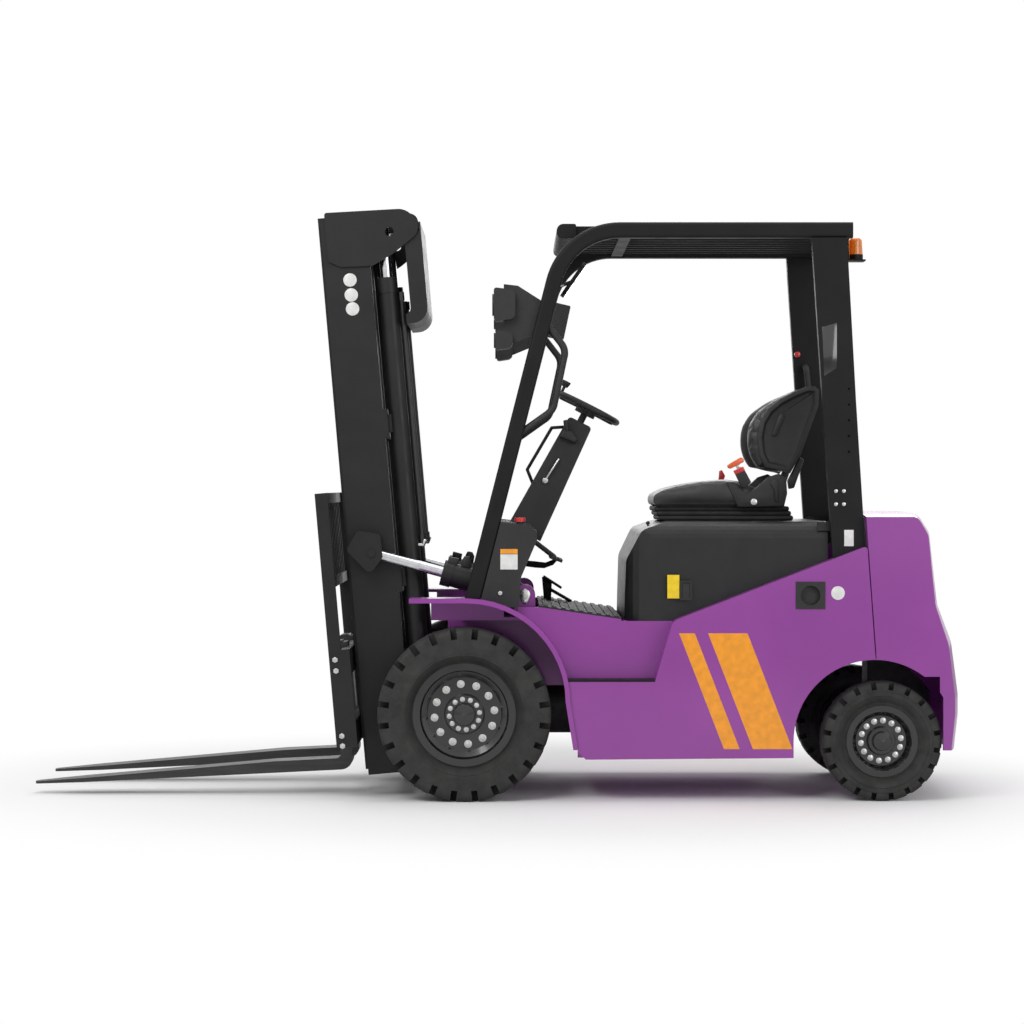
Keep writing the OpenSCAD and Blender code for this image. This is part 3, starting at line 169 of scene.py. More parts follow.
bpy.ops.object.select_all(action="DESELECT")
bpy.ops.mesh.primitive_plane_add(size=FLOOR_REACH)
floor = bpy.context.object
floor.name = "studio_floor"
floor_finish = bpy.data.materials.new("studio_floor")
w = wires_of(floor_finish)
place = w.node("ShaderNodeTexCoord", out="Object")
away = w.node("ShaderNodeVectorMath", {"operation": "LENGTH"}, {0: place}, out="Value")
fade = w.node("ShaderNodeMapRange", {"interpolation_type": "SMOOTHSTEP"},
              {"Value": away, "From Min": FADE_START, "From Max": FADE_END})
chalk = w.node("ShaderNodeBsdfDiffuse", {}, {"Color": (0.9, 0.9, 0.9, 1)})
white = w.node("ShaderNodeEmission", {}, {"Color": (1, 1, 1, 1), "Strength": 1.0})
looked_at = w.node("ShaderNodeLightPath", out="Is Camera Ray")
mixed = w.node("ShaderNodeMixShader", {}, {0: fade * looked_at, 1: chalk, 2: white})
w.node("ShaderNodeOutputMaterial", {}, {"Surface": mixed})
floor.data.materials.append(floor_finish)


def softbox(name, at, aim, size, watts):
    lamp = bpy.data.lights.new(name, "AREA")
    lamp.shape = "RECTANGLE"
    lamp.size, lamp.size_y = size
    lamp.energy = watts
    box = bpy.data.objects.new(name, lamp)
    box.location = at
    box.rotation_euler = (Vector(aim) - Vector(at)).to_track_quat("-Z", "Y").to_euler()
    bpy.context.scene.collection.objects.link(box)


softbox("key_box", (2.6, 5.0, 5.2), (0, 0, 0.9), (4.0, 3.0), 215)
softbox("fill_box", (-4.5, 5.5, 2.6), (-0.6, 0, 0.9), (3.0, 3.0), 90)
softbox("top_box", (-0.3, -0.6, 6.0), (0, 0, 0), (6.0, 4.0), 150)
softbox("back_box", (-1.0, -6.0, 3.5), (0, 0, 1.0), (5.0, 3.0), 90)
bpy.context.scene.view_settings.view_transform = "Standard"
print("floor and lamps placed")

# %% [markdown]
# ## Finishes
# Each finish on the truck starts from its plain colour in the record and gets what the real
# surface shows close up: orange peel under the gloss coat of the purple paint, a fine powder
# coat on black steel, a moulded grain on plastics, scuffs where steel is rubbed. Noise on
# Object coordinates is used throughout, because every piece keeps its place in its own mesh
# and the pattern then keeps its real scale from piece to piece. Three short helpers say what
# the noise is for: mixing two colours, varying the gloss, or raising a grain.

# %% Helpers for a finish
NOISE_LOW, NOISE_HIGH = 0.3, 0.7


def linear(red, green, blue):
    """Display colour (0 to 255) as the linear colour that shaders use."""
    def one(c):
        c = c / 255
        return c / 12.92 if c <= 0.04045 else ((c + 0.055) / 1.055) ** 2.4
    return (one(red), one(green), one(blue))


def noise(w, scale, detail=3.0, rough=0.5, stretch=(1, 1, 1)):
    place = w.node("ShaderNodeTexCoord", out="Object")
    placed = w.node("ShaderNodeMapping", {}, {"Vector": place, "Scale": stretch})
    return w.node("ShaderNodeTexNoise", {},
                  {"Vector": placed, "Scale": scale, "Detail": detail, "Roughness": rough})


def cells(w, scale, feature="F1"):
    place = w.node("ShaderNodeTexCoord", out="Object")
    return w.node("ShaderNodeTexVoronoi", {"feature": feature}, {"Vector": place, "Scale": scale})


def between(w, mask, low, high):
    """Mask turned into a range from low to high, held inside it."""
    return w.node("ShaderNodeMapRange", {}, {"Value": mask, "From Min": NOISE_LOW, "From Max": NOISE_HIGH,
                                             "To Min": low, "To Max": high})


def blend_colour(w, mask, first, second):
    return w.node("ShaderNodeMix", {"data_type": "RGBA"}, {0: mask, 6: (*first, 1), 7: (*second, 1)}, out=2)


def mottled(first, second, *pattern):
    return lambda w: blend_colour(w, between(w, noise(w, *pattern), 0, 1), first, second)


def varied(low, high, *pattern):
    return lambda w: between(w, noise(w, *pattern), low, high)


def grain(*pattern):
    return lambda w: noise(w, *pattern)


def finish(name, colour, rough, metal=0.0, bump=None, depth=0.0, **constants):
    """Material with a Principled shader; colour and rough may be functions that make wires."""
    made = bpy.data.materials.new(name)
    w = wires_of(made)
    shader = made.node_tree.nodes.new("ShaderNodeBsdfPrincipled")
    for key, value in {"Base Color": colour, "Roughness": rough, "Metallic": metal}.items():
        value = value(w) if callable(value) else value
        if key == "Base Color" and not isinstance(value, Wire):
            value = (*value, 1)
        w.feed(shader.inputs[key], value)
    if bump:
        bumped = w.node("ShaderNodeBump", {}, {"Strength": 1.0, "Distance": depth, "Height": bump(w)})
        w.feed(shader.inputs["Normal"], bumped)
    for key, value in constants.items():
        shader.inputs[key.replace("_", " ")].default_value = value
    w.node("ShaderNodeOutputMaterial", {}, {"Surface": Wire(made.node_tree, shader.outputs[0])})
    return made


print("finish helpers ready")

# %% [markdown]
# ### Paints
# The panels and the counterweight are sprayed purple with a clear coat; the coat is its own
# layer of the Principled shader. Mast, guard and forks are a thin satin black over steel, so
# their noise is finer and their gloss lower. On the fork blades the paint is rubbed, which a
# mask of stretched noise mixes in as brighter steel.

# %% Paint finishes
PURPLE = linear(143, 62, 150)
PURPLE_DEEP = linear(133, 55, 141)
BLACK = (0.0085, 0.0085, 0.009)
BLACK_WARM = (0.0125, 0.0125, 0.013)
BARE_STEEL = (0.19, 0.19, 0.19)
RUBBED = 0.14

body_paint = finish(
    "body_paint",
    mottled(PURPLE, PURPLE_DEEP, 2.2),
    varied(0.3, 0.42, 9.0, 5),
    bump=grain(160, 2), depth=0.00012,
    Coat_Weight=0.55, Coat_Roughness=0.09, Specular_IOR_Level=0.35)


def black_paint(name, gloss, pattern, depth, specular=0.28):
    return finish(
        name,
        mottled(BLACK, BLACK_WARM, 6.0, 4),
        varied(gloss, gloss + 0.14, 14.0, 4),
        bump=grain(pattern, 2), depth=depth, Specular_IOR_Level=specular)


black_steel = black_paint("black_steel", 0.4, 900, 0.00008, 0.14)
mast_steel = black_paint("mast_steel", 0.36, 700, 0.00006)
rim_paint = finish(
    "rim_paint",
    mottled((0.006, 0.006, 0.0065), (0.01, 0.01, 0.0105), 9.0, 4),
    varied(0.16, 0.28, 20, 4),
    bump=grain(220, 2), depth=0.00008, Coat_Weight=0.4, Coat_Roughness=0.08)
fork_steel = finish(
    "fork_steel",
    lambda w: blend_colour(w, between(w, noise(w, 30, 6, 0.7, (0.12, 1, 1)), 0.0, RUBBED),
                           (0.011, 0.011, 0.0115), BARE_STEEL),
    varied(0.34, 0.55, 40, 5, 0.6, (0.1, 1, 1)),
    bump=grain(120, 4, 0.6, (0.2, 1, 1)), depth=0.0002, Specular_IOR_Level=0.4)
cast_parts = finish(
    "cast_parts",
    mottled((0.012, 0.012, 0.013), (0.022, 0.021, 0.021), 18, 5),
    varied(0.5, 0.72, 40, 4),
    bump=grain(140, 5, 0.7), depth=0.0006)
battery_case = finish(
    "battery_case",
    mottled((0.045, 0.047, 0.05), (0.06, 0.062, 0.066), 5, 4),
    varied(0.45, 0.6, 25, 4),
    bump=grain(500, 2), depth=0.0001)
print("paints ready")

# %% [markdown]
# ### Rubber, plastics and seat vinyl
# Tyres are matt with a dusty bloom. Moulded plastics carry a spark-eroded grain, for which a
# Voronoi pattern of about a millimetre is close. The seat's vinyl has a softer, larger grain
# with a slight sheen. Grain is bump: it is far too fine to model.

# %% Rubber, plastic and vinyl finishes
tyre_rubber = finish(
    "tyre",
    mottled((0.019, 0.019, 0.0185), (0.036, 0.0355, 0.034), 16, 6, 0.65),
    varied(0.62, 0.85, 30, 4),
    bump=grain(260, 4, 0.6), depth=0.0004, Specular_IOR_Level=0.3)
floor_rubber = finish(
    "floor_rubber",
    mottled((0.011, 0.011, 0.0115), (0.02, 0.02, 0.02), 30, 5),
    varied(0.55, 0.75, 60, 3),
    bump=lambda w: cells(w, 420), depth=0.0004, Specular_IOR_Level=0.3)
hose_rubber = finish(
    "hose_rubber",
    mottled((0.008, 0.008, 0.0085), (0.014, 0.014, 0.0145), 50, 3),
    varied(0.4, 0.55, 90, 3),
    bump=grain(700, 2, 0.5, (1, 1, 0.3)), depth=0.0002)


def moulded(name, dark, light, gloss, pattern, depth):
    return finish(
        name,
        mottled(dark, light, 12, 4),
        varied(gloss, gloss + 0.12, 35, 4),
        bump=lambda w: cells(w, pattern), depth=depth, Specular_IOR_Level=0.35)


dark_plastic = moulded("dark_plastic", (0.0125, 0.0125, 0.0135), (0.0175, 0.0175, 0.0185), 0.45, 900, 0.00025)
hood_plastic = moulded("hood_plastic", (0.0085, 0.0085, 0.0092), (0.012, 0.012, 0.0128), 0.3, 800, 0.0002)
seat_cover = finish(
    "seat_cover",
    mottled((0.017, 0.017, 0.0175), (0.025, 0.0246, 0.0243), 20, 5),
    varied(0.32, 0.46, 45, 4),
    bump=lambda w: cells(w, 560, "SMOOTH_F1") * 0.6 + noise(w, 90, 3) * 0.4, depth=0.0005,
    Sheen_Weight=0.12, Specular_IOR_Level=0.4)
print("rubber, plastics and vinyl ready")

# %% [markdown]
# ### Bright metals, lenses and small colours
# Rods are hard chrome, chains and bolts plain steel. The beacon's lens and the lamp glasses
# are clear plastics, kept simple: a strong colour, low roughness and a gloss coat read well
# at this size and stay cheap to render.

# %% Metal and lens finishes
chrome_rod = finish(
    "chrome_rod", mottled((0.5, 0.51, 0.53), (0.62, 0.63, 0.65), 60, 4),
    varied(0.1, 0.22, 120, 3, 0.5, (1, 1, 8)), metal=1.0,
    bump=grain(900, 2, 0.5, (1, 1, 6)), depth=0.00003)
chain_steel = finish(
    "chain_steel", mottled((0.05, 0.048, 0.045), (0.13, 0.125, 0.12), 70, 5),
    varied(0.32, 0.5, 90, 3), metal=0.9,
    bump=grain(400, 3), depth=0.0001)
zinc = finish(
    "zinc_bolt", mottled((0.42, 0.42, 0.41), (0.6, 0.6, 0.59), 80, 4),
    varied(0.24, 0.38, 150, 3), metal=1.0,
    bump=grain(700, 2), depth=0.00005)
mirror_glass = finish(
    "mirror_glass", mottled((0.78, 0.8, 0.82), (0.84, 0.86, 0.87), 12, 3),
    varied(0.03, 0.07, 30, 3), metal=1.0)


def coloured(name, colour, rough=0.3, coat=0.3):
    shade = tuple(c * 0.82 for c in colour)
    return finish(
        name, mottled(shade, colour, 40, 4),
        varied(rough, rough + 0.1, 60, 3),
        bump=grain(600, 2), depth=0.00005, Coat_Weight=coat, Coat_Roughness=0.08)


amber_lens = coloured("amber_lens", (0.83, 0.22, 0.012), 0.12, 0.8)
signal_red = coloured("signal_red", linear(200, 30, 34))
belt_orange = coloured("belt_orange", linear(226, 92, 28))
band_orange = coloured("band_orange", linear(243, 155, 20), 0.35, 0.4)
plate_white = coloured("plate_white", linear(226, 226, 224), 0.4, 0.2)
plate_yellow = coloured("plate_yellow", linear(240, 205, 20), 0.4, 0.2)
lamp_glass = coloured("lamp_glass", (0.5, 0.53, 0.56), 0.08, 1.0)
screen_black = coloured("screen_black", (0.006, 0.006, 0.008), 0.1, 1.0)
print("metals and lenses ready")

# %% [markdown]
# ## Dressing the solids
# Each CAD solid takes the finish of its slot in the record. Where one solid is of two
# materials, such as the beacon's lens on its black bracket, its faces are sorted by place and
# get a second slot; the mesh itself isn't touched.

# %% Give every solid its finish
FINISHES = {
    "body_paint": body_paint, "black_steel": black_steel, "mast_steel": mast_steel, "fork_steel": fork_steel,
    "cast_parts": cast_parts, "rim_paint": rim_paint, "tyre": tyre_rubber, "floor_rubber": floor_rubber,
    "hose_rubber": hose_rubber, "dark_plastic": dark_plastic, "hood_plastic": hood_plastic,
    "seat_cover": seat_cover, "amber_lens": amber_lens, "mirror_glass": mirror_glass,
    "chrome_rod": chrome_rod, "chain_steel": chain_steel, "battery_case": battery_case,
}
for name, solid in nodes.items():
    solid.data.materials.clear()
    solid.data.materials.append(FINISHES[slot_of[name]])


def repaint(node, material, chosen):
    """Gives the faces of a solid that `chosen` picks, by centre and normal, another finish."""
    mesh = nodes[node].data
    mesh.materials.append(material)
    count = 0
    for face in mesh.polygons:
        if chosen(face.center, face.normal):
            face.material_index = len(mesh.materials) - 1
            count += 1
    print("repainted", count, "faces of", node)


beacon_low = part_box("beacon")[0]
lens_low = beacon_low[2] + 0.026
lens_front = beacon_low[0] + 0.066
repaint("beacon", black_steel, lambda at, n: at[2] < lens_low or at[0] > lens_front)
print("finishes given to", len(nodes), "solids")

# %% [markdown]
# ## Hands for modelling
# The small fittings start as primitives and are shaped in edit mode, as by hand. Each operator
# works on what is selected, so the first helpers clear the selection, run steps in edit mode
# on one piece, and apply a primitive's place so that its mesh holds its true coordinates.

# %% Edit mode helpers
def fresh():
    bpy.ops.object.select_all(action="DESELECT")


def edit(piece, *steps):
    """Runs edit-mode steps on all of a piece."""
    fresh()
    bpy.context.view_layer.objects.active = piece
    piece.select_set(True)
    bpy.ops.object.mode_set(mode="EDIT")
    for step in steps:
        bpy.ops.mesh.select_all(action="SELECT")
        step()
    bpy.ops.object.mode_set(mode="OBJECT")
    return piece


def apply_place(piece):
    fresh()
    bpy.context.view_layer.objects.active = piece
    piece.select_set(True)
    bpy.ops.object.transform_apply(location=True, rotation=True, scale=True)
    return piece


print("edit mode helpers ready")

# %% [markdown]
# A block and a bar are the two primitives that come back most. Real edges are never quite
# sharp and catch a line of light, so both get a small bevel: all edges of a block, but only
# the two rims of a bar, whose long edges are there to be shaded smooth.

# %% Blocks and bars
TINY = 1e-6


def block(low, high, edge=0.002, segments=2):
    low, high = Vector(low), Vector(high)
    fresh()
    bpy.ops.mesh.primitive_cube_add(size=1, location=(low + high) / 2)
    piece = bpy.context.object
    piece.scale = high - low
    apply_place(piece)
    return edit(piece, lambda: bpy.ops.mesh.bevel(offset=edge, segments=segments))


def bar(start, end, radius, sides=24, edge=0.0015):
    start, end = Vector(start), Vector(end)
    along = end - start
    fresh()
    bpy.ops.mesh.primitive_cylinder_add(
        vertices=sides, radius=radius, depth=along.length, location=(start + end) / 2,
        rotation=along.to_track_quat("Z", "Y").to_euler())
    piece = apply_place(bpy.context.object)
    spots = [v.co.dot(along.normalized()) for v in piece.data.vertices]
    rims = [e.index for e in piece.data.edges
            if abs(spots[e.vertices[0]] - spots[e.vertices[1]]) < TINY]

    def round_rims():
        bpy.ops.mesh.select_all(action="DESELECT")
        bpy.ops.object.mode_set(mode="OBJECT")
        for index in rims:
            piece.data.edges[index].select = True
        bpy.ops.object.mode_set(mode="EDIT")
        bpy.ops.mesh.bevel(offset=edge, segments=2)

    bpy.context.tool_settings.mesh_select_mode = (False, True, False)
    return edit(piece, round_rims)


print("blocks and bars ready")

# %% [markdown]
# Most fittings come in pairs or rings. Copies get meshes of their own, moved by a matrix, and
# are joined. The last step settles a piece: normals outward, smooth faces, a finish, and the
# body it rides on.

# %% Copying, joining and settling
def copies(piece, places):
    """One piece and its copies, each with its own mesh, moved by the given matrices and joined."""
    made = []
    for matrix in places:
        twin = piece.copy()
        twin.data = piece.data.copy()
        twin.data.transform(matrix)
        bpy.context.scene.collection.objects.link(twin)
        made.append(twin)
    bpy.data.objects.remove(piece)
    return joined(made)


def joined(pieces):
    fresh()
    for piece in pieces:
        piece.select_set(True)
    bpy.context.view_layer.objects.active = pieces[0]
    bpy.ops.object.join()
    return bpy.context.object


def settle(piece, name, body, material, smooth=35):
    """Last step for a piece: name, outward normals, smooth faces, finish and body."""
    piece.name = piece.data.name = name
    edit(piece, lambda: bpy.ops.mesh.normals_make_consistent(inside=False))
    fresh()
    piece.select_set(True)
    bpy.context.view_layer.objects.active = piece
    bpy.ops.object.shade_smooth_by_angle(angle=math.radians(smooth))
    piece.data.materials.clear()
    piece.data.materials.append(material)
    if body:
        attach(piece, body)
    print("made", name, len(piece.data.polygons), "faces")
    return piece


def about(point, axis, degrees):
    to = Matrix.Translation(point)
    return to @ Matrix.Rotation(math.radians(degrees), 4, axis) @ to.inverted()


MIRROR = Matrix.Scale(-1, 4, (0, 1, 0))
SIDES = ((1, "left"), (-1, "right"))
print("copying and settling ready")

# %% [markdown]
# ## Wheel bolts
# Each front rim is held by a ring of bright nuts on washers, with a smaller ring on the hub;
# the rear rims have one ring. A nut is a six-sided bar on a thin round washer, with the stud's
# end showing; its parts are shares of the nut's size. One is modelled, then copied round the
# hub's axis.

# %% Nuts on all four rims
ROLL = Vector((0, 1, 0))
FIRST_NUT = 7
# Start, end, radius, sides and bevel of the washer, the head and the stud
NUT_PARTS = ((0.0, 0.16, 0.72, 20, 0.05), (0.12, 0.62, 0.52, 6, 0.07), (0.5, 0.86, 0.26, 14, 0.05))


def nut_ring(name, body, centre, face, ring, count, size, side):
    hub = Vector(centre)
    seat = hub + Vector((ring, face, 0))
    nut = joined([bar(seat + ROLL * size * low, seat + ROLL * size * high, size * radius, sides, size * edge)
                  for low, high, radius, sides, edge in NUT_PARTS])
    ring_piece = copies(nut, [about(hub, "Y", 360 * i / count + FIRST_NUT) for i in range(count)])
    if side < 0:
        ring_piece.data.transform(MIRROR)
    return settle(ring_piece, name, body, zinc)


def middle(corners):
    return [(a + b) / 2 for a, b in zip(*corners)]


front_hub = middle(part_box("front_tyre_left"))
rear_hub = middle(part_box("rear_tyre_left"))
for side, word in SIDES:
    nut_ring("front_nuts_" + word, "front_wheel_" + word, front_hub, 0.024, 0.115, 12, 0.021, side)
    nut_ring("front_hub_bolts_" + word, "front_wheel_" + word, front_hub, 0.046, 0.058, 12, 0.0135, side)
    nut_ring("rear_nuts_" + word, "rear_wheel_" + word, rear_hub, 0.022, 0.077, 14, 0.016, side)

# %% [markdown]
# ## The seat
# A truck seat is foam under stretched vinyl: it bulges between its seams and has no sharp edge.
# Its side outline is traced as by hand: one vertex is extruded from corner to corner, the loop
# is filled and the face is extruded across. A crown is a row of insets, each pushed in or out.

# %% Tracing an outline
def traced(outline, y0, y1, crown=(), edge=0.0):
    """Plate traced in the side view from y0 to y1; crown lists insets and pushes on its face."""
    fresh()
    bpy.context.tool_settings.mesh_select_mode = (True, False, False)
    bpy.ops.mesh.primitive_plane_add(size=0.01, location=(outline[0][0], y0, outline[0][1]))
    piece = apply_place(bpy.context.object)

    def trace():
        bpy.ops.mesh.merge(type="CENTER")
        for (x0, z0), (x1, z1) in zip(outline, outline[1:]):
            bpy.ops.mesh.extrude_vertices_move(TRANSFORM_OT_translate={"value": (x1 - x0, 0, z1 - z0)})
        bpy.ops.mesh.select_all(action="SELECT")
        bpy.ops.mesh.edge_face_add()
        bpy.ops.mesh.extrude_region_move(TRANSFORM_OT_translate={"value": (0, y1 - y0, 0)})
        bpy.context.tool_settings.mesh_select_mode = (False, False, True)
        for inset, push in crown:
            bpy.ops.mesh.inset(thickness=inset)
            bpy.ops.transform.translate(value=(0, push, 0))

    def soften():
        bpy.ops.mesh.normals_make_consistent(inside=False)
        bpy.context.tool_settings.mesh_select_mode = (False, True, False)
        bpy.ops.mesh.select_all(action="DESELECT")
        bpy.ops.mesh.edges_select_sharp(sharpness=math.radians(40))
        bpy.ops.mesh.bevel(offset=edge, segments=2, clamp_overlap=True)

    return edit(piece, trace, soften) if edge else edit(piece, trace)


print("tracing ready")

# %% [markdown]
# To become a pad, a traced block is remeshed evenly, smoothed and blown up a little as cloth
# with pressure inside, while the seam lines are pinned. How far a point may move is capped, so
# the pad keeps its size.

# %% Stuffing a pad
SEAM_WIDTH = 0.006
VOXEL = 0.008
SHRINK = 0.004
CAP = 0.010
PRESSURE = 4.0
CLOTH_FRAMES = 20


def stuffed(piece, name, body, on_seam):
    """Pad blown up from a plain block, with the points that `on_seam` picks held back."""
    fresh()
    bpy.context.view_layer.objects.active = piece
    remesh = piece.modifiers.new("even_mesh", "REMESH")
    remesh.mode, remesh.voxel_size = "VOXEL", VOXEL
    bpy.ops.object.modifier_apply(modifier=remesh.name)
    edit(piece, lambda: bpy.ops.mesh.vertices_smooth(factor=0.5, repeat=6),
         lambda: bpy.ops.transform.shrink_fatten(value=-SHRINK))
    start = [v.co.copy() for v in piece.data.vertices]
    pins = piece.vertex_groups.new(name="seams")
    pins.add([i for i, co in enumerate(start) if on_seam(co)], 1.0, "REPLACE")
    cloth = piece.modifiers.new("stuffing", "CLOTH")
    cloth.settings.vertex_group_mass = pins.name
    cloth.settings.use_pressure = True
    cloth.settings.uniform_pressure_force = PRESSURE
    cloth.settings.effector_weights.gravity = 0
    for step in range(CLOTH_FRAMES):
        bpy.context.scene.frame_set(step + 1)
    blown = piece.evaluated_get(bpy.context.evaluated_depsgraph_get()).data
    moved = [v.co.copy() for v in blown.vertices]
    piece.modifiers.remove(cloth)
    for v, a, b in zip(piece.data.vertices, start, moved):
        v.co = a + (b - a) * min(1.0, CAP / max((b - a).length, TINY))
    bpy.context.scene.frame_set(1)
    piece.vertex_groups.clear()
    rounder = piece.modifiers.new("rounder", "SUBSURF")
    rounder.levels = rounder.render_levels = 1
    bpy.ops.object.modifier_apply(modifier=rounder.name)
    settle(piece, name, body, seat_cover, 80)
    return piece


print("stuffing ready")

# %% [markdown]
# The cushion has a bolster along each side and one cross seam behind the front roll. The back
# has only the two bolster seams. Both outlines run round the pad in the side view.

# %% Cushion and back
CUSHION = [(-0.625, 1.113), (-0.610, 1.140), (-0.617, 1.167), (-0.650, 1.187), (-0.746, 1.207),
           (-0.834, 1.220), (-0.905, 1.224), (-0.949, 1.214), (-1.020, 1.187), (-1.130, 1.165),
           (-1.136, 1.113)]
BACK = [(-1.056, 1.269), (-1.023, 1.269), (-0.994, 1.324), (-0.985, 1.390), (-0.997, 1.450), (-1.034, 1.499),
        (-1.097, 1.542), (-1.163, 1.570), (-1.215, 1.586), (-1.248, 1.586), (-1.260, 1.574), (-1.257, 1.510),
        (-1.227, 1.428), (-1.189, 1.324), (-1.150, 1.252), (-1.108, 1.252)]
SEAT_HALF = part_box("seat_cushion")[1][1]
PAD_HALF = SEAT_HALF - 0.030
BOLSTER_Y = 0.150
BOLSTER_END_X = -0.92
ROLL_X = -0.700
TOP_Z, PIPING_Z = 1.15, 1.132


def back_seam(co):
    return abs(abs(co.y) - BOLSTER_Y) < SEAM_WIDTH


def cushion_seam(co):
    on_bolster = back_seam(co) and co.x > BOLSTER_END_X
    across = abs(co.x - ROLL_X) < SEAM_WIDTH and abs(co.y) < BOLSTER_Y
    piping = abs(co.z - PIPING_Z) < SEAM_WIDTH
    return (co.z > TOP_Z and (on_bolster or across)) or piping


cushion = stuffed(traced(CUSHION, -SEAT_HALF, SEAT_HALF), "seat_cushion_pad", "hood", cushion_seam)
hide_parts("seat_cushion")
backrest = stuffed(traced(BACK, -PAD_HALF, PAD_HALF), "seat_back_pad", "hood", back_seam)

# %% [markdown]
# The back is a bucket: the middle of its front is pushed in between the bolsters with
# proportional editing, which pulls the neighbours along less and less.

# %% Press the back into a bucket
BUCKET = 0.065
BUCKET_HALF = 0.085
BUCKET_LOW, BUCKET_HIGH = 1.27, 1.55
FACING_FRONT = 0.15


def press_in():
    bpy.context.tool_settings.mesh_select_mode = (True, False, False)
    bpy.ops.mesh.select_all(action="DESELECT")
    bpy.ops.object.mode_set(mode="OBJECT")
    for v in backrest.data.vertices:
        in_middle = abs(v.co.y) < BUCKET_HALF and BUCKET_LOW < v.co.z < BUCKET_HIGH
        v.select = in_middle and v.normal.x > FACING_FRONT
    bpy.ops.object.mode_set(mode="EDIT")
    bpy.ops.transform.translate(value=(-BUCKET, 0, 0), use_proportional_edit=True,
                                proportional_edit_falloff="SMOOTH", proportional_size=BUCKET_HALF)


edit(backrest, press_in)
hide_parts("seat_back")

# %% [markdown]
# A moulded shell holds the back on each side. Its face is inset three times: the first ring
# stays as a rim, the other two sink, and the floor of the recess gets a rib. The recliner
# cover over the pivot is traced too, with its lever and the strap behind it, and a steel pin
# goes through the cover.

# %% Seat shells and recliner covers
SHELL = [(-1.056, 1.274), (-1.032, 1.324), (-1.025, 1.390), (-1.037, 1.453), (-1.067, 1.502),
         (-1.111, 1.538), (-1.163, 1.566), (-1.217, 1.588), (-1.250, 1.589), (-1.266, 1.575),
         (-1.264, 1.513), (-1.234, 1.431), (-1.196, 1.324), (-1.153, 1.249), (-1.119, 1.259)]
SHELL_CROWN = ((0.016, 0.003), (0.006, -0.010), (0.004, -0.004))
RIB = [(-1.081, 1.396), (-1.112, 1.480), (-1.126, 1.484), (-1.132, 1.472), (-1.100, 1.395)]
COVER = [(-0.905, 1.214), (-0.935, 1.214), (-0.983, 1.167), (-1.023, 1.195), (-1.067, 1.235),
         (-1.108, 1.248), (-1.137, 1.231), (-1.141, 1.170), (-1.129, 1.120), (-0.946, 1.116)]
LEVER = [(-1.074, 1.206), (-1.082, 1.222), (-1.094, 1.228), (-1.106, 1.220), (-1.108, 1.140),
         (-1.093, 1.136), (-1.087, 1.187)]
STRAP = [(-1.193, 1.313), (-1.210, 1.302), (-1.171, 1.192), (-1.151, 1.187), (-1.146, 1.220)]
PIN = Vector((-1.010, SEAT_HALF - 0.010, 1.137))


def both(piece):
    return copies(piece, (Matrix.Identity(4), MIRROR))


shell = traced(SHELL, PAD_HALF - 0.020, SEAT_HALF - 0.001, SHELL_CROWN, 0.002)
rib = traced(RIB, SEAT_HALF - 0.024, SEAT_HALF - 0.006, ((0.004, 0.003),))
settle(both(joined([shell, rib])), "seat_shells", "hood", dark_plastic, 50)
cover = traced(COVER, SEAT_HALF - 0.010, SEAT_HALF + 0.006, ((0.005, 0.002),), 0.002)
lever = traced(LEVER, SEAT_HALF + 0.004, SEAT_HALF + 0.012, ((0.004, 0.002),), 0.001)
strap = traced(STRAP, PAD_HALF - 0.030, PAD_HALF + 0.010, (), 0.004)
settle(both(joined([cover, lever, strap])), "recliner_covers", "hood", dark_plastic, 40)
settle(both(bar(PIN, PIN + Vector((0, 0.022, 0)), 0.013)), "recliner_pins", "hood", zinc)

# %% [markdown]
# A belt stalk stands beside the cushion with the buckle's tongue in it. Red tops, one on each
# side of the seat, mark where the thumb presses.

# %% Belt stalk and buckle
STALK = [(-0.931, 1.257), (-0.967, 1.273), (-0.999, 1.214), (-0.978, 1.191), (-0.960, 1.196)]
RED_TOP = [(-0.929, 1.259), (-0.967, 1.276), (-0.975, 1.260), (-0.937, 1.243)]
RED_FRONT = [(-0.912, 1.262), (-0.923, 1.265), (-0.936, 1.240), (-0.928, 1.218), (-0.908, 1.218)]
TONGUE = [(-0.905, 1.281), (-0.917, 1.289), (-0.957, 1.312), (-0.967, 1.308), (-0.971, 1.294),
          (-0.919, 1.267), (-0.908, 1.269)]
TONGUE_FOOT = [(-0.935, 1.283), (-0.950, 1.290), (-0.962, 1.268), (-0.945, 1.262)]
BELT_Y = SEAT_HALF + 0.004
settle(traced(STALK, BELT_Y, BELT_Y + 0.022, (), 0.003), "belt_stalk", "hood", dark_plastic)
red = joined([traced(RED_TOP, BELT_Y - 0.001, BELT_Y + 0.0235, (), 0.003),
              traced(RED_FRONT, -BELT_Y - 0.020, -BELT_Y, (), 0.003)])
settle(red, "belt_buttons", "hood", signal_red)
tongue = traced(TONGUE, BELT_Y - 0.004, BELT_Y + 0.026, (), 0.004)
settle(tongue, "belt_tongue", "hood", belt_orange)
tongue_foot = traced(TONGUE_FOOT, BELT_Y + 0.006, BELT_Y + 0.014, (), 0.002)
settle(tongue_foot, "belt_plate", "hood", zinc)

# %% [markdown]
# ## Folded bellows under the seat
# The suspension hides in a rubber bellows. A fold is a flat block with a wide bevel, so that
# light rolls over it. Three of them stand in a pile, each set a little further forward than the
# one below.

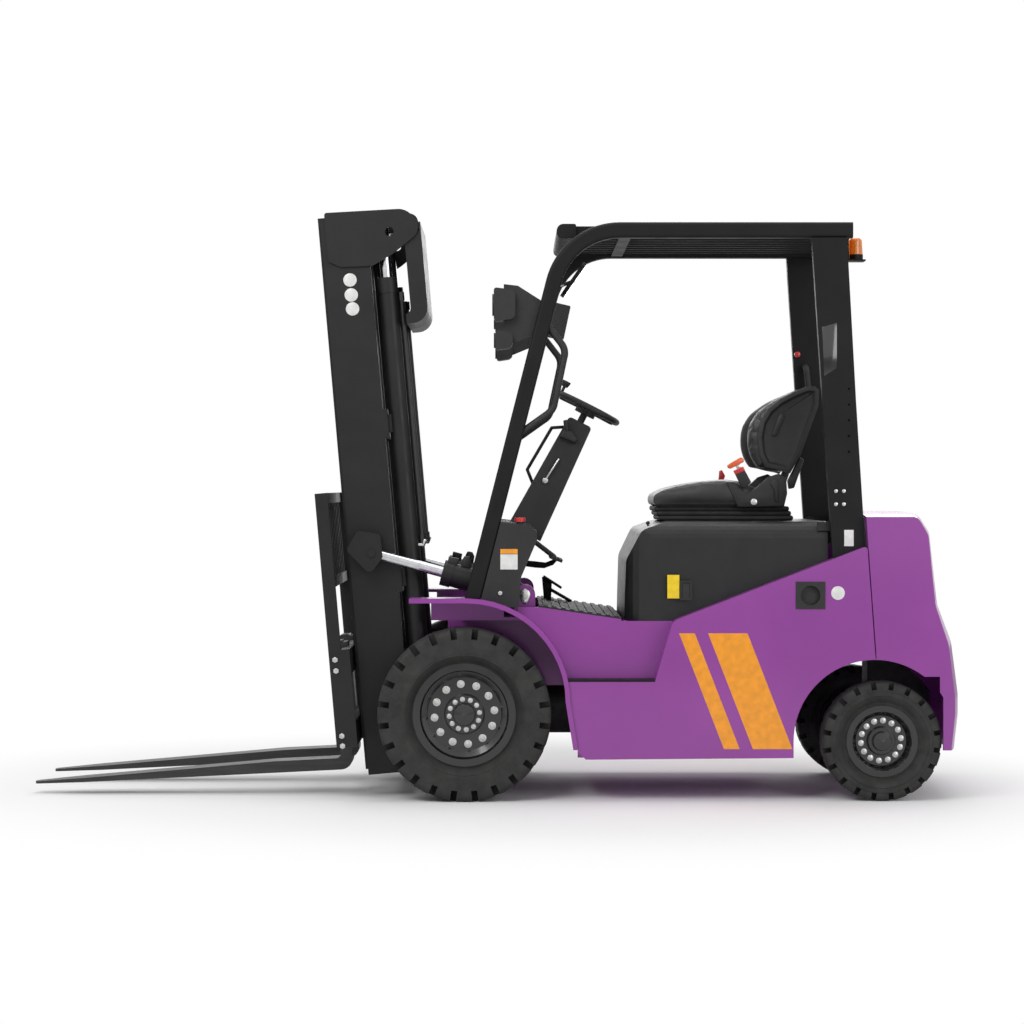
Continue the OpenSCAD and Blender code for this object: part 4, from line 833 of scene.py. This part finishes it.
# %% Bellows
bellows_low, bellows_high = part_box("seat_bellows")
FOLDS = 3
FOLD_TOP = 1.118
FOLD_STEP = (FOLD_TOP - bellows_low[2]) / FOLDS
FOLD_OVERLAP, FOLD_ROUND = 0.12, 0.48
SWAY, BULGE = 0.008, 0.004
folds = []
for i in range(FOLDS):
    sway = SWAY * (i - 1)
    foot = bellows_low[2] + i * FOLD_STEP
    low = Vector((bellows_low[0] - BULGE + sway, bellows_low[1], foot))
    high = Vector((bellows_high[0] + BULGE + sway, bellows_high[1], foot + (1 + FOLD_OVERLAP) * FOLD_STEP))
    folds.append(block(low, high, FOLD_STEP * FOLD_ROUND, 4))
bellows = settle(joined(folds), "seat_bellows_folds", "hood", floor_rubber, 60)
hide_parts("seat_bellows")

# %% [markdown]
# ## Fittings round the driver's place
# Small metal and plastic fittings make the size of a machine readable. Pipes are bars with a
# ball at each corner, flat levers and pedals are traced, and bolt heads are six-sided bars.
# None of them moves in use on its own here, so each rides on the body that carries it.

# %% Column lever, switch and hand rail
COLUMN_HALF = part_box("steering_column")[1][1]


def ball(at, radius):
    fresh()
    bpy.ops.mesh.primitive_uv_sphere_add(segments=16, ring_count=10, radius=radius, location=at)
    return apply_place(bpy.context.object)


def pipe(points, radius):
    """Bars from point to point with a ball at each corner."""
    parts = [bar(a, b, radius, 14, radius * 0.2) for a, b in zip(points, points[1:])]
    return joined(parts + [ball(p, radius) for p in points[1:-1]])


def at_y(outline, y):
    return [Vector((x, y, z)) for x, z in outline]


clamp_at = Vector((-0.197, COLUMN_HALF, 1.221))
clamp = joined([bar(clamp_at - Vector((0, 0.004, 0)), clamp_at + Vector((0, 0.014, 0)), 0.011),
                bar(clamp_at + Vector((0, 0.009, 0)), (-0.252, COLUMN_HALF + 0.012, 1.308), 0.0045)])
settle(clamp, "column_clamp_lever", "chassis", zinc)
switch_foot = [(-0.252, 1.393), (-0.269, 1.422), (-0.304, 1.417), (-0.327, 1.382), (-0.316, 1.367)]
switch = joined([traced(switch_foot, COLUMN_HALF - 0.004, COLUMN_HALF + 0.026, ((0.006, 0.006),), 0.003),
                 bar((-0.286, COLUMN_HALF + 0.016, 1.395), (-0.278, COLUMN_HALF + 0.03, 1.46), 0.010)])
settle(switch, "direction_switch", "chassis", dark_plastic)
rail = pipe(at_y([(-0.285, 1.436), (-0.224, 1.432), (-0.126, 1.265), (-0.150, 1.205)], 0.0), 0.0065)
settle(rail, "column_hand_rail", "chassis", black_steel)

# %% [markdown]
# The brake pedal hangs on a curved arm and the drive pedal lies on a stand with a heel plate.

# %% Pedals
ARM = [(-0.100, 0.901), (-0.159, 0.896), (-0.200, 0.891), (-0.226, 0.901), (-0.238, 0.911), (-0.249, 0.901),
       (-0.231, 0.881), (-0.195, 0.868), (-0.159, 0.870), (-0.100, 0.878)]
BRAKE_PAD = [(-0.215, 0.917), (-0.220, 0.924), (-0.264, 0.904), (-0.261, 0.893)]
DRIVE_PAD = [(-0.196, 0.835), (-0.269, 0.788), (-0.265, 0.779), (-0.191, 0.826)]
STAND = [(-0.187, 0.829), (-0.228, 0.809), (-0.224, 0.722), (-0.196, 0.728)]
HEEL = [(-0.220, 0.785), (-0.311, 0.733), (-0.303, 0.724), (-0.215, 0.774)]
pedal_parts = [traced(ARM, -0.112, -0.090, (), 0.002), traced(BRAKE_PAD, -0.140, -0.062, (), 0.002),
               traced(DRIVE_PAD, -0.290, -0.215, (), 0.002), traced(STAND, -0.270, -0.235, (), 0.002),
               traced(HEEL, -0.290, -0.215, (), 0.002)]
settle(joined(pedal_parts), "foot_pedals", "chassis", black_steel)

# %% [markdown]
# A steel keeper plate locks each tilt cylinder's pin at its ear on the frame. The pipe clamps
# sit on the barrels and ride with them. The pipe ends on the lift cylinders stay on the mast.

# %% Keepers, clamps and pipe ends
KEEPER = [(-0.115, 0.806), (-0.132, 0.796), (-0.136, 0.780), (-0.124, 0.752), (-0.115, 0.746),
          (-0.106, 0.752), (-0.094, 0.780), (-0.098, 0.796)]
EAR_Y = 0.4155
keeper = joined([traced(KEEPER, EAR_Y, EAR_Y + 0.007, (), 0.0015),
                 bar((-0.115, EAR_Y, 0.780), (-0.115, EAR_Y + 0.012, 0.780), 0.012),
                 bar((-0.115, EAR_Y, 0.757), (-0.115, EAR_Y + 0.011, 0.757), 0.006, 6)])
settle(both(keeper), "pin_keepers", "chassis", zinc)
CLAMP = [(0.178, 0.929), (0.140, 0.919), (0.146, 0.890), (0.184, 0.899)]
UNION = [(0.126, 0.916), (0.118, 0.930), (0.098, 0.926), (0.090, 0.908), (0.094, 0.882), (0.132, 0.890)]
for side, word in SIDES:
    body = "tilt_barrel_" + word
    fitting = joined([traced(CLAMP, 0.362, 0.408, (), 0.003), traced(UNION, 0.370, 0.400, (), 0.004)])
    if side < 0:
        fitting.data.transform(MIRROR)
    settle(fitting, body + "_clamps", body, dark_plastic)
ends = pipe(at_y([(0.352, 0.972), (0.280, 0.970), (0.272, 0.992)], 0.300), 0.0075)
settle(both(ends), "lift_pipe_ends", "outer_mast", zinc)

# %% [markdown]
# Bolt heads hold the carriage's side plates, the console and the guard's feet.

# %% Bolt heads
BOLT_H, BOLT_SUNK = 0.008, 0.003


def bolts(name, spots, y, radius, body):
    heads = [bar((x, y - BOLT_SUNK, z), (x, y + BOLT_H, z), radius, 6) for x, z in spots]
    return settle(both(joined(heads)), name, body, zinc)


bolts("carriage_bolts", [(0.609, 0.537), (0.605, 0.495), (0.583, 0.247), (0.580, 0.209)],
      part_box("carriage")[1][1], 0.0115, "fork_carriage")
bolts("console_bolts", [(-0.020, 0.791)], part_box("dash")[1][1], 0.009, "chassis")
bolts("pillar_bolts", [(-1.300, 1.18), (-1.330, 1.18), (-1.300, 1.13), (-1.330, 1.13)],
      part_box("rear_pillars")[1][1] - 0.003, 0.008, "chassis")

# %% [markdown]
# The last small things are a blank gloss plate on each pillar, the hood's latch, the little
# seat lever before it and the red horn button inside the right pillar.

# %% Plates, latch and buttons
PILLAR_PLATE = [(-1.247, 1.805), (-1.304, 1.822), (-1.304, 1.650), (-1.255, 1.618)]
pillar_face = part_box("rear_pillars")[1][1]
gloss_plate = traced(PILLAR_PLATE, pillar_face - 0.0005, pillar_face + 0.002, (), 0.0008)
settle(both(gloss_plate), "pillar_plates", "chassis", screen_black)
LATCH = [(-0.707, 0.764), (-0.752, 0.764), (-0.752, 0.837), (-0.707, 0.837)]
hood_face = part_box("hood")[1][1]
latch = traced(LATCH, hood_face - 0.004, hood_face + 0.002, ((0.006, 0.0), (0.003, -0.004)))
settle(both(latch), "hood_latches", "hood", dark_plastic)
STICK_Y = 0.190
stick = joined([bar((-0.601, STICK_Y, 1.000), (-0.599, STICK_Y, 1.050), 0.0035),
                ball((-0.599, STICK_Y, 1.054), 0.008)])
settle(stick, "seat_lever", "hood", dark_plastic)
horn = bar((-1.250, -0.458, 1.745), (-1.250, -0.430, 1.745), 0.012)
settle(horn, "horn_button", "chassis", signal_red)

# %% [markdown]
# ## Second finishes on single solids
# Lamp lenses, the stop button, the mirror's glass and the display's screen are part of larger
# solids. Their faces are picked by place and direction.

# %% Lenses, button, mirror and screen
GLASS_DEPTH = 0.012
BUTTON_Y, BUTTON_Z = 0.44, 1.0625
lamp_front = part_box("lamps")[1][0]
repaint("lamps", lamp_glass, lambda at, n: n[0] > 0.9 and at[0] > lamp_front - GLASS_DEPTH)
repaint("dash", signal_red, lambda at, n: at[1] > BUTTON_Y and at[2] > BUTTON_Z)
repaint("rear_mirror", black_steel, lambda at, n: n[0] > -0.6)
repaint("display", screen_black, lambda at, n: n[0] < -0.9)

# %% [markdown]
# ## Plates and bands
# The truck carries a few small plates, kept blank here, and a pair of plain orange bands on
# each side panel. Each is a thin block that stands just under a millimetre proud of what
# carries it.

# %% Blank plates
PLATE = 0.0016
PLATE_EDGE = PLATE * 0.3
ROUNDEL = 0.026


def plate(name, body, at, size, material):
    """Upright plate that faces sideways; `at` is its middle on the carrying face."""
    half = Vector((size[0], PLATE, size[1])) / 2
    piece = block(Vector(at) - half, Vector(at) + half, PLATE_EDGE, 1)
    settle(piece, name, body, material)


def roundel(name, body, at):
    half = ROLL * PLATE / 2
    piece = bar(Vector(at) - half, Vector(at) + half, ROUNDEL, 40, PLATE_EDGE)
    settle(piece, name, body, plate_white)


panel_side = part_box("side_panels")[1][1]
rail_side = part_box("outer_rails")[1][1]
pod_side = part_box("dash")[1][1]
plate("pod_plate", "chassis", (-0.0537, pod_side, 0.91), (0.066, 0.058), plate_white)
plate("pod_plate_head", "chassis", (-0.0537, pod_side, 0.95), (0.066, 0.018), band_orange)
plate("pillar_plate", "chassis", (-1.350, pillar_face, 1.001), (0.036, 0.062), plate_white)
plate("hood_plate", "hood", (-0.6814, hood_face - 0.003, 0.815), (0.046, 0.09), plate_yellow)
roundel("panel_roundel", "chassis", (-1.3033, panel_side, 0.793))
for i, z in enumerate((1.998, 1.940, 1.886)):
    roundel("mast_roundel_%d" % (i + 1), "outer_mast", (0.5628 - 0.005 * i, rail_side, z))

# %% [markdown]
# The bands lean forward. Each starts as an upright block, and its upper corners are then moved
# ahead in edit mode.

# %% Orange bands on the side panels
BAND_LOW, BAND_HIGH = 0.2, 0.64
BAND_SLANT = 0.17
BAND_PLACES = ((-1.13, 0.15), (-0.93, 0.06))
bands = []


def leaning(band):
    def lean_top():
        bpy.ops.mesh.select_all(action="DESELECT")
        bpy.ops.object.mode_set(mode="OBJECT")
        for v in band.data.vertices:
            v.select = v.co.z > (BAND_LOW + BAND_HIGH) / 2
        bpy.ops.object.mode_set(mode="EDIT")
        bpy.ops.transform.translate(value=(BAND_SLANT, 0, 0))

    bpy.context.tool_settings.mesh_select_mode = (True, False, False)
    return edit(band, lean_top)


for side, _ in SIDES:
    for start, width in BAND_PLACES:
        low = Vector((start, side * panel_side - PLATE / 2, BAND_LOW))
        bands.append(leaning(block(low, low + Vector((width, PLATE, BAND_HIGH - BAND_LOW)), PLATE_EDGE, 1)))
settle(joined(bands), "side_bands", "chassis", band_orange)

# %% [markdown]
# ## Tyre side walls
# A tyre's side wall has thin raised rings. A torus sunk half into the wall gives each one a
# soft edge. The front tyres are the widest part of the truck, so their ring sits lower, where
# the wall curves in to the rim, and stays inside the truck's box.

# %% Side wall rings
RING_THICK = 0.0035


def wall_rings(name, body, hub, face, radii, side):
    rings = []
    for radius in radii:
        fresh()
        bpy.ops.mesh.primitive_torus_add(
            major_radius=radius, minor_radius=RING_THICK, major_segments=96, minor_segments=8,
            location=(hub[0], hub[1] + face, hub[2]), rotation=(math.radians(90), 0, 0))
        rings.append(apply_place(bpy.context.object))
    piece = joined(rings)
    if side < 0:
        piece.data.transform(MIRROR)
    settle(piece, name, body, tyre_rubber, 80)


front_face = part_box("front_tyre_left")[1][1] - front_hub[1]
front_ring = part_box("front_rim_left")[1][2] - front_hub[2] + 0.0326
rear_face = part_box("rear_tyre_left")[1][1] - rear_hub[1]
for side, word in SIDES:
    wall_rings("front_wall_rings_" + word, "front_wheel_" + word, front_hub,
               front_face - 0.0037, (front_ring,), side)
    wall_rings("rear_wall_rings_" + word, "rear_wheel_" + word, rear_hub,
               rear_face - 0.0015, (0.176, 0.193), side)

# %% [markdown]
# ## Lift chains
# Each chain is a leaf chain: pairs of figure-of-eight plates on pins. One pitch is modelled
# and an Array modifier repeats it along the mast. The strand behind the pulley hangs between
# the outer mast and the pulley, the one in front between the pulley and the carriage. Neither
# strand is attached to a body.

# %% Chain strands
LEAN = math.radians(5)
UP = Vector((math.sin(LEAN), 0, math.cos(LEAN)))
AHEAD = Vector((math.cos(LEAN), 0, -math.sin(LEAN)))
MAST_PIVOT = Vector((front_hub[0], 0, front_hub[2]))
PITCH = 0.0254
CHAIN_Y, CHAIN_WIDE = 0.150, 0.021
PULLEY_U, PULLEY_W, PULLEY_R = 0.200, 1.865, 0.046
CHAIN_T = 0.014
LEAF_HALF = Vector((0.0062, 0.0014, 0.014))
LEAVES = 5
LEAF_STEP = CHAIN_WIDE / 5.2
CHAIN_PIN = 0.0036


def on_mast(u, y, w):
    return MAST_PIVOT + AHEAD * u + UP * w + Vector((0, y, 0))


def leaf_at(spot, k):
    """Leaf number k across the chain, upright along the mast."""
    at = spot + ROLL * (k - LEAVES // 2) * LEAF_STEP
    leaf = block(at - LEAF_HALF, at + LEAF_HALF, 0.0012, 1)
    leaf.data.transform(about(at, "Y", math.degrees(LEAN)))
    return leaf


def strand(name, u, low, high, side):
    start = on_mast(u, side * CHAIN_Y, low)
    half = UP * PITCH / 2
    leaves = [leaf_at(start + half * (k % 2), k) for k in range(LEAVES)]
    for at in (start, start + half):
        leaves.append(bar(at - ROLL * CHAIN_WIDE / 2, at + ROLL * CHAIN_WIDE / 2, CHAIN_PIN, 10, 0.0006))
    piece = joined(leaves)
    row = piece.modifiers.new("row", "ARRAY")
    row.use_relative_offset = False
    row.use_constant_offset = True
    row.constant_offset_displace = UP * PITCH
    row.count = int((high - low) / PITCH)
    bpy.ops.object.modifier_apply(modifier=row.name)
    settle(piece, name, None, chain_steel)
    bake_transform(piece)


WRAP_R = PULLEY_R - CHAIN_T / 2
for side, word in SIDES:
    strand("chain_rear_" + word, PULLEY_U - WRAP_R, 0.60, PULLEY_W, side)
    strand("chain_front_" + word, PULLEY_U + WRAP_R, 0.345, PULLEY_W, side)

# %% [markdown]
# Over the pulley the same leaves follow its rim, half a turn from one strand to the other.

# %% Chain over the pulleys
WRAP_STEPS = 12
wraps = []
for side, _ in SIDES:
    hub = on_mast(PULLEY_U, side * CHAIN_Y, PULLEY_W)
    for k in range(LEAVES):
        turns = [about(hub, "Y", 180 * (i + (k % 2) / 2) / WRAP_STEPS) for i in range(WRAP_STEPS)]
        wraps.append(copies(leaf_at(hub - AHEAD * WRAP_R, k), turns[k % 2::2]))
wrap = settle(joined(wraps), "chain_over_pulleys", "inner_mast", chain_steel)
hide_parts("lift_chains")
